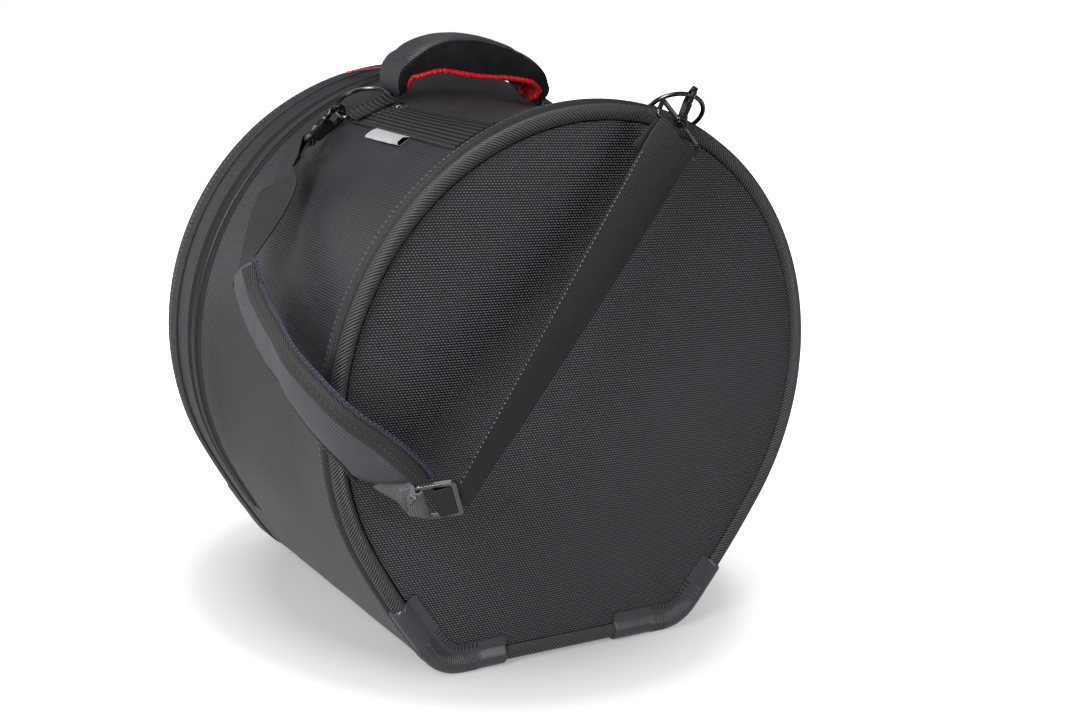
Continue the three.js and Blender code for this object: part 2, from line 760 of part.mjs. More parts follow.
// Snap hooks: each hangs with its throat round the ring's wire and points at the fold of the strap.
function hookFrame(frame, angle, fold, face) {
  const contact = ringPoint(frame, angle);
  const wireDirection = ringPoint(frame, angle + 0.1).sub(ringPoint(frame, angle - 0.1)).normalize();
  const down = fold.clone().sub(contact).normalize();
  const through = squared(wireDirection, down).multiplyScalar(face);
  const cosine = Math.abs(wireDirection.dot(through));
  const slant = Math.sqrt(1 - cosine ** 2) / cosine;
  const throatPlay = hookThroat - ringWire / (2 * cosine) - (hookThickness / 2) * slant - hookPlay;
  const side = new THREE.Vector3().crossVectors(through, down).normalize();
  const origin = contact.clone().addScaledVector(down, throatPlay);
  return { contact, origin, down, side, through, fold: origin.clone().addScaledVector(down, hookReach) };
}

const hookOuter = hookThroat + hookArm;
const bodyStart = 14;
const neckStart = 35;
const neckEnd = 38.9;
const neckHalf = 4.2;
const postRadius = 2.2;
const postSides = 12;
const headRadius = 3.6;
const headHeight = 1.8;
const collarLength = 4.1;
const collarRadius = 5.4;
const swivelShoulder = 7;

function hook(frame) {
  const tip = 2;
  const outline = [
    [tip, -hookOuter],
    ...arcPoints(0, 0, hookOuter, -Math.PI / 2, -1.5 * Math.PI, 10),
    [bodyStart, hookOuter],
    [neckStart - 4, hookOuter - 1.2],
    [neckStart, neckHalf],
    [neckStart + 1.5, neckHalf],
    [neckStart + 1.5, -neckHalf],
    [neckStart, -neckHalf],
    [neckStart - 5, 1.2 - hookOuter],
    [bodyStart + 7.5, 0.6 - hookOuter],
    [bodyStart + 7, -2.6],
    [bodyStart - 1, -2.4],
    [bodyStart - 3, 1],
    [bodyStart - 4.5, hookThroat],
    ...arcPoints(0, 0, hookThroat, -1.5 * Math.PI, -Math.PI / 2, 10),
    [tip, -hookThroat],
  ];
  const body = plate(outline, hookThickness, frameMatrix(new THREE.Vector3(), X, Y, Z));
  const post = new THREE.LatheGeometry([
    new THREE.Vector2(0, neckStart - 2),
    new THREE.Vector2(neckHalf, neckStart - 2),
    new THREE.Vector2(neckHalf, neckEnd),
    new THREE.Vector2(postRadius, neckEnd),
    new THREE.Vector2(postRadius, neckEnd + collarLength + 2 * gap),
    new THREE.Vector2(headRadius, neckEnd + collarLength + 2 * gap),
    new THREE.Vector2(headRadius, neckEnd + collarLength + 2 * gap + headHeight),
    new THREE.Vector2(0, neckEnd + collarLength + 2 * gap + headHeight),
  ], postSides);
  post.rotateY(Math.PI / postSides);
  post.applyMatrix4(frameMatrix(new THREE.Vector3(), Y, X, Z.clone().negate()));
  return join(body, post).applyMatrix4(frameMatrix(frame.origin, frame.down, frame.side, frame.through));
}

function hookGate(frame) {
  const outline = [
    [2 + gateGap, -hookOuter],
    [2 + gateGap, -hookThroat],
    [bodyStart - 1, -hookThroat + 0.6],
    [bodyStart, -hookThroat + 1],
    [bodyStart + 6, -hookThroat + 1],
    [bodyStart + 6.4, -hookOuter + 0.8],
    [bodyStart + 4, -hookOuter],
    [bodyStart, -hookOuter],
    [bodyStart - 3, -hookOuter - 2.6],
    [bodyStart - 5.5, -hookOuter - 2.6],
    [bodyStart - 6.5, -hookOuter],
  ];
  return plate(outline, hookThickness - 1, frameMatrix(frame.origin, frame.down, frame.side, frame.through));
}

function swivelLoop(frame, widthDirection) {
  const half = (ringInnerWidth + swivelWire) / 2;
  const across = squared(widthDirection, frame.down);
  const flat = new THREE.Vector3().crossVectors(frame.down, across).normalize();
  const top = neckEnd + gap + collarLength / 2;
  const at = (down, side) => frame.origin.clone()
    .addScaledVector(frame.down, down)
    .addScaledVector(across, side);
  const bend = ringBend;
  const rightSide = [
    at(top, swivelShoulder), at(top + gap, half - bend),
    at(top + bend / 3, half - bend / 3), at(top + bend, half),
    at(hookReach - bend, half), at(hookReach - bend / 3, half - bend / 3), at(hookReach, half - bend),
  ];
  const leftSide = [
    at(hookReach, bend - half), at(hookReach - bend / 3, bend / 3 - half), at(hookReach - bend, -half),
    at(top + bend, -half), at(top + bend / 3, bend / 3 - half),
    at(top + gap, bend - half), at(top, -swivelShoulder),
  ];
  const wire = wireLoop([...rightSide, ...leftSide], flat, swivelWire / 2, wireSides);
  const collarFrame = frameMatrix(at(top, 0), across, flat, frame.down);
  const ringOutline = (radius) => arcPoints(0, 0, radius, 0, 2 * Math.PI, loopSides).slice(1);
  const collar = plate(ringOutline(collarRadius), collarLength, collarFrame);
  const bore = plate(ringOutline(postRadius + loopPlay), 2 * collarLength, collarFrame);
  return { geometry: cut(join(collar, wire), bore), across, flat };
}

function strapPlace([across, along, up]) {
  const half = roundRadius + coverOuter;
  const y = Math.max(along, -1) * halfDepth + Math.min(along + 1, 0) * strapStandoff;
  return new THREE.Vector3(across * half, y, up * (centreZ + half));
}

const leftFold = strapPlace(leftFoldShare);
const rightFold = strapPlace(rightFoldShare);
const slideMiddle = strapPlace(slideShare);
const leftWidth = new THREE.Vector3(-0.16, -0.87, 0.46);
const rightWidth = new THREE.Vector3(0.83, 0, -0.555);
const leftHook = hookFrame(leftRing, leftHookAngle, leftFold, 1);
const rightHook = hookFrame(rightRing, rightHookAngle, rightFold, -1);
const leftSwivel = swivelLoop(leftHook, leftWidth);
const rightSwivel = swivelLoop(rightHook, rightWidth);
add("left_hook", hook(leftHook), gunmetal, 0.35, 0.9);
add("right_hook", hook(rightHook), gunmetal, 0.35, 0.9);
add("left_hook_gate", hookGate(leftHook), gunmetal, 0.35, 0.9);
add("right_hook_gate", hookGate(rightHook), gunmetal, 0.35, 0.9);
add("left_swivel_loop", leftSwivel.geometry, gunmetal, 0.35, 0.9);
add("right_swivel_loop", rightSwivel.geometry, gunmetal, 0.35, 0.9);

// Webbing: a flat ribbon through given places, each with its own width direction.
function ribbon(places, width, thickness) {
  const count = places.length;
  const normals = places.map((place, i) => {
    const before = places[Math.max(i - 1, 0)].at;
    const after = places[Math.min(i + 1, count - 1)].at;
    return new THREE.Vector3().crossVectors(after.clone().sub(before), place.width).normalize();
  });
  const indexes = places.map((_, i) => i);
  const point = (i, v, side) => places[i].at.clone()
    .addScaledVector(places[i].width, (v * width) / 2)
    .addScaledVector(normals[i], (side * thickness) / 2);
  return sheet(indexes, [-1, 1], (i, v) => point(i, v, 1), (i, v) => point(i, v, -1));
}

// A sewn eye at the end of a ribbon, round a bar of the given half sizes.
function eye(origin, direction, width, thickness, barLength, barThickness) {
  const along = squared(direction, width);
  const out = new THREE.Vector3().crossVectors(width, along).normalize();
  const inner = roundedBox(barLength + 2 * loopPlay, barThickness + 2 * loopPlay, barThickness / 3, 2);
  const grow = 2 * (loopPlay + thickness);
  const outer = roundedBox(barLength + grow, barThickness + grow, barThickness / 2, 2);
  const across = new THREE.Vector3().crossVectors(along, out);
  return plate(outer, strapWidth, frameMatrix(origin, along, out, across), [inner]);
}

// The shoulder pad's middle line and width directions, from its top end to the end by the slide.
const padLine = [
  { at: [-1.0798, -0.2933, 0.6863], width: [-0.18, -0.91, 0.37] },
  { at: [-1.061, -0.3867, 0.627], width: [-0.26, -0.67, 0.69] },
  { at: [-1.0657, -0.5533, 0.5961], width: [-0.29, -0.3, 0.91] },
  { at: [-1.0798, -0.76, 0.5771], width: [-0.34, -0.29, 0.9] },
  { at: [-1.0939, -0.98, 0.551], width: [-0.34, -0.54, 0.77] },
  { at: [-1.0423, -1.4903, 0.5059], width: [-0.16, -0.79, 0.6] },
  { at: [-0.9296, -1.6862, 0.4536], width: [-0.05, -0.8, 0.6] },
  { at: [-0.8357, -1.6079, 0.4061], width: [-0.25, -0.7, 0.67] },
];
const padSteps = 11;
const padAcross = [-1, -0.6, 0, 0.6, 1];

function padPlace(share) {
  const curve = new THREE.CatmullRomCurve3(padLine.map((p) => strapPlace(p.at)), false, "centripetal");
  const widthLine = padLine.map((p) => new THREE.Vector3(...p.width));
  const widths = new THREE.CatmullRomCurve3(widthLine, false, "centripetal");
  const at = curve.getPoint(share);
  const tangent = curve.getTangent(share);
  const width = squared(widths.getPoint(share), tangent);
  return { at, width, out: new THREE.Vector3().crossVectors(tangent, width).normalize(), tangent };
}

function padSheet(low, high, halfWidth, grow = 0) {
  const us = [];
  for (let i = 0; i <= padSteps; i += 1) us.push(padPlace(i / padSteps));
  us[0].at.addScaledVector(us[0].tangent, -grow);
  us[padSteps].at.addScaledVector(us[padSteps].tangent, grow);
  const point = (place, v, height) => place.at.clone()
    .addScaledVector(place.width, v * (halfWidth + grow))
    .addScaledVector(place.out, height);
  const top = (u, v) => point(u, v, high(v) + grow);
  return sheet(us, padAcross, top, (u, v) => point(u, v, low - grow));
}

const crowned = (v) => padEdgeThickness + (padThickness - padEdgeThickness) * (1 - v * v);
const backingHigh = () => -gap;
const backingHalf = padWidth / 2 - 1;
add("shoulder_pad", padSheet(0, crowned, padWidth / 2), cloth, 0.8);
add("shoulder_pad_backing", padSheet(-gap - backingThickness, backingHigh, backingHalf), cloth, 0.9);

// What the webbings are trimmed by where they run into the pad.
const padSpace = join(padSheet(-gap - backingThickness, crowned, padWidth / 2, gap));

// The rear run of the strap, from its eye on the left swivel loop to the top of the pad.
const padTop = padPlace(0);
const padTopEnd = padTop.at.clone().addScaledVector(padTop.out, padEdgeThickness / 2)
  .addScaledVector(padTop.tangent, padEdgeThickness);
const rearAlong = squared(padTopEnd.clone().sub(leftHook.fold), leftSwivel.across);
const eyeWall = swivelWire / 2 + loopPlay + strapThickness / 2;
const rearStart = leftHook.fold.clone().addScaledVector(rearAlong, eyeWall);
const rearDirection = padTopEnd.clone().sub(rearStart).normalize();
const rearMiddleWidth = leftSwivel.across.clone().add(padTop.width);
const rearRun = [
  { at: rearStart, width: leftSwivel.across },
  { at: rearStart.clone().lerp(padTopEnd, 0.5), width: squared(rearMiddleWidth, rearDirection) },
  { at: padTopEnd, width: squared(padTop.width, rearDirection) },
];
const leftEye = eye(leftHook.fold, rearAlong, leftSwivel.across, strapThickness, swivelWire, swivelWire);
const rearWebbing = join(leftEye, ribbon(rearRun, strapWidth, strapThickness));
add("strap_rear_webbing", cut(rearWebbing, padSpace), cloth, 0.8);

// The slide: a flat frame with rounded corners and a bar across its middle.
const slideWidthDirection = new THREE.Vector3(0.496, 0.506, -0.707).normalize();
const slideAlong = squared(new THREE.Vector3(0.833, -0.511, 0.211), slideWidthDirection);
const slideOut = new THREE.Vector3().crossVectors(slideWidthDirection, slideAlong).normalize();
const slideFrame = frameMatrix(slideMiddle, slideAlong, slideWidthDirection,
  new THREE.Vector3().crossVectors(slideAlong, slideWidthDirection));
const windowLength = (slideLength - 2 * slideRail - slideBar) / 2;
const windowMiddle = slideBar / 2 + windowLength / 2;
const windowOutline = roundedBox(windowLength, slideWidth - 2 * slideRail, windowRound, 2);
const slideWindow = (middle) => windowOutline.map(([x, y]) => [x + middle, y]);
add("slide_buckle", plate(roundedBox(slideLength, slideWidth, slideRound, 3), slideThickness, slideFrame,
  [slideWindow(-windowMiddle), slideWindow(windowMiddle)]), gunmetal, 0.4, 0.9);

// The light webbing from the pad's pocket to the slide, with its eye on the slide's near rail.
const nearRail = slideMiddle.clone().addScaledVector(slideAlong, (slideRail - slideLength) / 2);
const padEnd = padPlace(1);
const padEndPoint = padEnd.at.clone().addScaledVector(padEnd.out, padEdgeThickness / 2)
  .addScaledVector(padEnd.tangent, -padEdgeThickness);
const nearEye = eye(nearRail, slideAlong, slideWidthDirection, loopWall, slideRail, slideThickness);
const eyeEnd = nearRail.clone().addScaledVector(slideAlong, -(slideRail / 2 + loopPlay + loopWall / 2));
const endDirection = padEndPoint.clone().sub(eyeEnd).normalize();
const lowToUp = slideWidthDirection.clone().negate();
const endMiddleWidth = padEnd.width.clone().add(lowToUp);
const endWebbing = join(nearEye, ribbon([
  { at: eyeEnd, width: lowToUp },
  { at: eyeEnd.clone().addScaledVector(slideAlong, -slideRail), width: lowToUp },
  { at: eyeEnd.clone().lerp(padEndPoint, 0.6), width: squared(endMiddleWidth, endDirection) },
  { at: padEndPoint, width: squared(padEnd.width, endDirection) },
], strapWidth, strapThickness));
add("pad_end_webbing", cut(endWebbing, padSpace), webGrey, 0.8);

// The front run, from its eye on the slide's bar over the far rail and up to the right hook.
const frontAlong = squared(slideMiddle.clone().sub(rightHook.fold), rightSwivel.across).negate();
const overRail = slideThickness / 2 + loopPlay + loopWall / 2;
const overBar = slideMiddle.clone().addScaledVector(slideOut, -overRail);
const farRail = overBar.clone().addScaledVector(slideAlong, slideLength / 2 + slideRail / 2);
const frontWidth = slideWidthDirection;
const foldEnd = rightHook.fold.clone().addScaledVector(frontAlong, -eyeWall);
const frontDirection = foldEnd.clone().sub(farRail).normalize();
const frontRun = [{ at: overBar, width: frontWidth }, { at: farRail, width: frontWidth }];
const frontSteps = 8;
for (let i = 1; i <= frontSteps; i += 1) {
  const share = i / frontSteps;
  const width = frontWidth.clone().lerp(rightSwivel.across, share);
  frontRun.push({
    at: farRail.clone().lerp(foldEnd, share),
    width: i === frontSteps ? rightSwivel.across : squared(width, frontDirection),
  });
}
const barEye = eye(slideMiddle, slideAlong, slideWidthDirection, loopWall, slideBar, slideThickness);
const backAlong = frontAlong.clone().negate();
const rightEye = eye(rightHook.fold, backAlong, rightSwivel.across, strapThickness, swivelWire, swivelWire);
add("strap_front_webbing", join(barEye, ribbon(frontRun, strapWidth, strapThickness), rightEye), cloth, 0.8);

// Rivets that pin the feet of the handle, one at the inner edge of each band.
function rivet(angle, y) {
  const seat = wallFrame(angle * roundRadius, y, bandTop + gap, rivetRadius, rivetRadius);
  const dome = new THREE.LatheGeometry([
    new THREE.Vector2(0, gap),
    new THREE.Vector2(rivetRadius, gap),
    new THREE.Vector2(rivetRadius, gap + rivetHeight / 3),
    new THREE.Vector2(rivetRadius * 0.7, gap + rivetHeight * 0.85),
    new THREE.Vector2(0, gap + rivetHeight),
  ], 16);
  return dome.applyMatrix4(frameMatrix(seat.origin, seat.across, seat.out, seat.along));
}

const rivetInset = (bandWidth / 2 - rivetRadius - 1) / (roundRadius + coverOuter);
const leftRivet = rivet(leftBandAngle + rivetInset, leftBandRearY - 4 * rivetRadius);
add("left_handle_rivet", leftRivet, gunmetal, 0.35, 0.9);
add("right_handle_rivet", rivet(rightBandAngle - rivetInset, handleMiddleY), gunmetal, 0.35, 0.9);

// The blank label: a folded tape sewn in at the lower edge of the left band.
const bandHalfSeam = (bandWidth / 2) * (roundRadius / (roundRadius + coverOuter));
const labelTop = leftBandAngle * roundRadius - bandHalfSeam - 2 * gap;
const labelStations = stationsBetween(labelTop - labelWidth, labelTop);
add("label_loop", sheet(labelStations, [labelRearY - labelLength, labelRearY - labelLength / 2, labelRearY],
  (s, y) => wall(s, y, coverOuter + gap + labelThickness),
  (s, y) => wall(s, y, coverOuter + gap)), white, 0.7);

// The handle: an arch over the crown. Its path is given as shares of the span between the feet and of
// the rise; the wrapped cover, the web inside it and the satin lining follow the same path.
const leftFoot = wall(handleLeftAngle * roundRadius, handleMiddleY, coverOuter);
const rightFoot = wall(handleRightAngle * roundRadius, handleMiddleY, coverOuter);
const archPoints = handleArch.map(({ across, up }) => {
  const p = leftFoot.clone().lerp(rightFoot, across);
  p.z += handleFootLift + up * handleRise;
  return p;
});
const archCurve = new THREE.CatmullRomCurve3(archPoints, false, "centripetal");
const archSteps = 14;

function archPlace(share) {
  const at = archCurve.getPointAt(share);
  const tangent = archCurve.getTangentAt(share);
  const inward = new THREE.Vector3(tangent.z, 0, -tangent.x).normalize();
  const toFoot = Math.min(share, 1 - share) * archCurve.getLength();
  const depth = handleFootDepth + (handleFlapDepth - handleFootDepth) * Math.sin(Math.PI * share) ** 2;
  const below = Math.max(handleFootRadius - handleFootLift - toFoot, 0);
  const round = Math.sqrt((handleFootRadius - handleFootPlay) ** 2 - below ** 2);
  const grow = Math.min(Math.max(toFoot - handleFootRadius, 0) / handleFootRadius, 1);
  const half = round + (handleWidth / 2 - handleFootRadius) * grow;
  return { at, inward, depth, half };
}

const archPlaces = [];
for (let i = 0; i <= archSteps; i += 1) archPlaces.push(archPlace(i / archSteps));

// Across the wrap: near flap edge, near top edge, crown, far top edge, far flap edge.
const wrap = [
  { side: -1, down: 1 },
  { side: -1, down: 0 },
  { side: -0.5, down: 0 },
  { side: 0.5, down: 0 },
  { side: 1, down: 0 },
  { side: 1, down: 1 },
];

function wrapPoint(place, v, inset, sink, longer = 0) {
  const down = sink + v.down * (place.depth - sink + longer);
  return place.at.clone()
    .addScaledVector(Y, v.side * (place.half - inset))
    .addScaledVector(place.inward, down);
}

const webSink = handleCoverThickness + gap;
const liningSink = webSink + handleWebThickness + gap;
const liningInsetY = handleCoverThickness + 2 * gap;
add("handle_cover", sheet(archPlaces, wrap,
  (u, v) => wrapPoint(u, v, 0, 0),
  (u, v) => wrapPoint(u, v, handleCoverThickness, handleCoverThickness)), cloth, 0.75);
add("handle_lining", sheet(archPlaces, wrap,
  (u, v) => wrapPoint(u, v, liningInsetY, liningSink, handleLiningThickness),
  (u, v) => wrapPoint(u, v, liningInsetY + handleLiningThickness, liningSink + handleLiningThickness)),
red, 0.45);
add("handle_webbing", sheet(archPlaces, [-1, 1],
  (u, v) => wrapPoint(u, { side: v, down: 0 }, liningInsetY + 2 * gap, webSink),
  (u, v) => wrapPoint(u, { side: v, down: 0 }, liningInsetY + 2 * gap, webSink + handleWebThickness)),
cloth, 0.8);

// Zip sliders on the coil, each with a bridge that holds its pull.
const coilTop = tapeOuter + coilHeight;
const sliderPlate = 2;
const bridgeWidth = 2.6;
const bridgeHalf = 5.4;
const bridgeLeg = 1.8;
const bridgeWindow = 3.4;
const bridgeTop = 1.5;

function slider(angle) {
  const seat = {
    origin: wall(angle * roundRadius, zipMiddleY, coilTop),
    along: new THREE.Vector3(Math.cos(angle), 0, -Math.sin(angle)),
    across: Y,
    out: new THREE.Vector3(Math.sin(angle), 0, Math.cos(angle)),
  };
  const floor = 3 * gap;
  const outline = [
    [-sliderLength / 2, -sliderWidth / 2 + 1.5], [-sliderLength / 2 + 2, -sliderWidth / 2],
    [sliderLength / 2 - 4, -sliderWidth / 2], [sliderLength / 2, -sliderWidth / 2 + 3.5],
    [sliderLength / 2, sliderWidth / 2 - 3.5], [sliderLength / 2 - 4, sliderWidth / 2],
    [-sliderLength / 2 + 2, sliderWidth / 2], [-sliderLength / 2, sliderWidth / 2 - 1.5],
  ];
  const base = seat.origin.clone().addScaledVector(seat.out, floor + sliderPlate / 2);
  const bottom = plate(outline, sliderPlate, frameMatrix(base, seat.along, seat.across, seat.out));
  const top = floor + sliderPlate + bridgeWindow + bridgeTop;
  const foot = floor + sliderPlate / 2;
  const arch = [[-bridgeHalf, foot], [bridgeHalf, foot], [bridgeHalf, top - 1.5], [bridgeHalf - 1.5, top],
    [1.5 - bridgeHalf, top], [-bridgeHalf, top - 1.5]];
  const leg = bridgeHalf - bridgeLeg;
  const hole = [[-leg, floor + sliderPlate], [leg, floor + sliderPlate],
    [leg, floor + sliderPlate + bridgeWindow], [-leg, floor + sliderPlate + bridgeWindow]];
  const bridge = plate(arch, bridgeWidth, frameMatrix(seat.origin, seat.along, seat.out,
    seat.across.clone().negate()), [hole]);
  return { geometry: join(bottom, bridge), seat, pullHeight: floor + sliderPlate + bridgeWindow / 2 };
}

// A pull: a flat eye round the bridge's window bar, and a cord that lies off it at an angle.
function pull(made, side, turn) {
  const { seat, pullHeight } = made;
  const origin = seat.origin.clone().addScaledVector(seat.out, pullHeight);
  const eyeEnd = bridgeHalf + 3 * pullBar;
  const holeEnd = bridgeHalf + pullBar;
  const holeHalf = bridgeWidth / 2 + gap;
  const eyeOutline = [[-pullBar / 2, -pullWidth / 2], [eyeEnd, -pullWidth / 2],
    [eyeEnd, pullWidth / 2], [-pullBar / 2, pullWidth / 2]];
  const eyeHole = [[pullBar / 2, -holeHalf], [holeEnd, -holeHalf],
    [holeEnd, holeHalf], [pullBar / 2, holeHalf]];
  const eyeFrame = frameMatrix(origin, seat.along.clone().multiplyScalar(side), seat.across,
    seat.out.clone().multiplyScalar(side));
  const eyePlate = plate(eyeOutline, pullThickness, eyeFrame, [eyeHole]);
  const cordStart = bridgeHalf + 2 * pullBar;
  const shares = [0, 0.25, 0.5, 0.75, 1];
  const point = (share, v, height) => {
    const along = cordStart + share * pullLength * Math.cos(turn);
    const across = share * pullLength * Math.sin(turn);
    const drop = (along * along) / (2 * (roundRadius + coverOuter));
    return origin.clone()
      .addScaledVector(seat.along, side * (along - (v * pullWidth * Math.sin(turn)) / 2))
      .addScaledVector(seat.across, across + (v * pullWidth * Math.cos(turn)) / 2)
      .addScaledVector(seat.out, height - drop);
  };
  const half = pullThickness / 2;
  const cord = sheet(shares, [-1, 1], (u, v) => point(u, v, half), (u, v) => point(u, v, -half));
  return join(eyePlate, cord);
}

const leftSlider = slider(leftSliderAngle);
const rightSlider = slider(rightSliderAngle);
add("left_slider", leftSlider.geometry, gunmetal, 0.35, 0.9);
add("right_slider", rightSlider.geometry, gunmetal, 0.35, 0.9);
add("left_pull", pull(leftSlider, -1, leftPullTurn), liningBlack, 0.6);
add("right_pull", pull(rightSlider, 1, rightPullTurn), liningBlack, 0.6);

export default bag;
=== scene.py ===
from math import cos, exp, pi, radians, sin, sqrt
import bpy
import bmesh
import numpy as np
from mathutils import Matrix, Vector, noise


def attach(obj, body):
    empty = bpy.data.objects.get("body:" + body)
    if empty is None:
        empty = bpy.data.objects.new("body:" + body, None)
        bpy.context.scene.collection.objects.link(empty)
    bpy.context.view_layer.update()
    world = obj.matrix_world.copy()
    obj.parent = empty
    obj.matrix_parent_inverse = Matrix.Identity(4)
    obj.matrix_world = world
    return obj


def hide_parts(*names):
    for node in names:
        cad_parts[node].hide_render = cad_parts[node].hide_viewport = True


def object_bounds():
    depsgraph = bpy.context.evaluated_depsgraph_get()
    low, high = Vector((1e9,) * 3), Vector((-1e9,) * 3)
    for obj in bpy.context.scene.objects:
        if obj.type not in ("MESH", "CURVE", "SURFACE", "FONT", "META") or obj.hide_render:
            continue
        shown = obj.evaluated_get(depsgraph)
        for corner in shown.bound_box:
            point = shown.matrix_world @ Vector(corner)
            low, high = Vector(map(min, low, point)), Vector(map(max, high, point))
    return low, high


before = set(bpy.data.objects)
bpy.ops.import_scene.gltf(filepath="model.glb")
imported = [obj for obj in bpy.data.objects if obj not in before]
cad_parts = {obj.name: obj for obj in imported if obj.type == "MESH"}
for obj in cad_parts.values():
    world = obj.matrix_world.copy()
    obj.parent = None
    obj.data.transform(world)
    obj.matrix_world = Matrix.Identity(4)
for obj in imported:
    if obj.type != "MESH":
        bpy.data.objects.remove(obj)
cad_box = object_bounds()

# The padded wall of the drum: one wide strip of fine, slightly shiny polyester sewn round the drum, over
# a 10 mm foam sheet and a plain lining. It lies on a flat base, and the empty bag sinks at the crown and
# the waist between its stiff hoops. The lid's narrow band is made of the same three layers.
ROUND_RADIUS, ROUND_TURN = 200.0, radians(120.4)
SIDE_LENGTH, SIDE_TURN = 102.3, radians(8.2)
CORNER_RADIUS = 25.6
CORNER_TURN = pi - ROUND_TURN - SIDE_TURN
SEAM_ARCS = [(ROUND_RADIUS, ROUND_TURN), (SIDE_LENGTH / SIDE_TURN, SIDE_TURN), (CORNER_RADIUS, CORNER_TURN)]
ROUND_END = ROUND_RADIUS * ROUND_TURN
SIDE_END = ROUND_END + SIDE_LENGTH
CORNER_END = SIDE_END + CORNER_RADIUS * CORNER_TURN
CORNER_MIDDLE = (SIDE_END + CORNER_END) / 2
GAP, CLOTH = 0.3, 1.5
LINING_INNER, LINING_OUTER = -0.6, 0.9
FOAM_INNER, FOAM_OUTER = 1.2, 11.2
COVER_INNER, COVER_OUTER = 11.5, 13.0
OUTER_RADIUS = ROUND_RADIUS + COVER_OUTER
HALF_DEPTH, PANEL_INNER_Y, LINING_FRONT_Y = 150.0, 140.2, 138.1
ZIP_FRONT_Y, ZIP_MIDDLE_Y, ZIP_REAR_Y = 76.2, 90.2, 104.2
FOAM_REAR_Y, LID_FOAM_FRONT_Y = 85.2, 95.2
SINK_KNOTS = [(-136.05, 0), (-109.95, 0.45), (-75, 0.95), (-30, 1), (15.24, 1), (50, 0.65), (ZIP_FRONT_Y, 0)]
SINK_EASE = 0.35
CROWN_SINK, CROWN_ANGLE, CROWN_SPREAD = 17, 6, 42
WAIST_SINK, WAIST_ANGLE, WAIST_SPREAD = 8, 92, 34
LOOSE_FRONT_Y, LOOSE_RISE, CALM_FRONT, CALM_REAR = -140, 0.7, 30, 25
TIGHT_REACH = 24


def half_seam(distance):
    x, z, heading, left = 0.0, ROUND_RADIUS, 0.0, distance
    for radius, turn in SEAM_ARCS:
        step = min(turn, left / radius)
        x += radius * (sin(heading + step) - sin(heading))
        z += radius * (cos(heading + step) - cos(heading))
        heading += step
        left -= radius * step
    return x - max(left, 0), z, heading


HALF_SEAM = CORNER_END + half_seam(CORNER_END)[0]
CENTRE_Z = COVER_OUTER - half_seam(CORNER_END)[1]


def bump(angle, middle, half):
    share = (angle - radians(middle)) / radians(half)
    return cos(share * pi / 2) ** 2 if abs(share) < 1 else 0.0


def sink(s, y):
    angle = s / ROUND_RADIUS
    ys, shares = zip(*SINK_KNOTS)
    share = float(np.interp(y, ys, shares))
    share = share * share * (3 - 2 * share) * SINK_EASE + share * (1 - SINK_EASE)
    crown = CROWN_SINK * bump(angle, CROWN_ANGLE, CROWN_SPREAD)
    return (crown + WAIST_SINK * bump(abs(angle), WAIST_ANGLE, WAIST_SPREAD)) * share


def wall(s, y, out):
    """The place s along the seam from the crown, y to the rear and out from the seam line."""
    s = (s + HALF_SEAM) % (2 * HALF_SEAM) - HALF_SEAM
    x, z, heading = half_seam(abs(s))
    side = -1 if s < 0 else 1
    loose = 0.0
    if LOOSE_FRONT_Y < y < ZIP_FRONT_Y and abs(s) < CORNER_END:
        calm = min(1, (y - LOOSE_FRONT_Y) / CALM_FRONT, (ZIP_FRONT_Y - y) / CALM_REAR)
        loose = LOOSE_RISE * calm * noise.noise(Vector((s / 90, y / 60, 3.1)))
    out = out - sink(s, y) + loose
    return Vector((side * (x + out * sin(heading)), y, CENTRE_Z + z + out * cos(heading)))


def wall_axes(s, y, out):
    along = (wall(s + 4, y, out) - wall(s - 4, y, out)).normalized()
    slope = (wall(s, y + 3, out) - wall(s, y - 3, out)).normalized()
    up = along.cross(slope).normalized()
    return wall(s, y, out), along, up.cross(along), up


def seam_stops(start, end, widest=7.0, tightest=2.0):
    """Places along the seam, closer together round the corners."""
    stops, s = [], start
    while s < end - 0.01:
        stops.append(s)
        near = min(abs((abs(q) % (2 * HALF_SEAM)) - CORNER_MIDDLE)
                   for q in (s, 2 * HALF_SEAM - s if s > 0 else s))
        s += tightest if near < TIGHT_REACH else widest
    return stops + [end]


# Sewing a piece: rows of points joined into one closed skin, with its cloth coordinates in millimetres.
def evenly(first, last, steps):
    return [first + (last - first) * i / steps for i in range(steps + 1)]


def circle(count):
    return [2 * pi * i / count for i in range(count)]


def placed(name, data):
    thing = bpy.data.objects.new(name, data)
    bpy.context.scene.collection.objects.link(thing)
    return thing


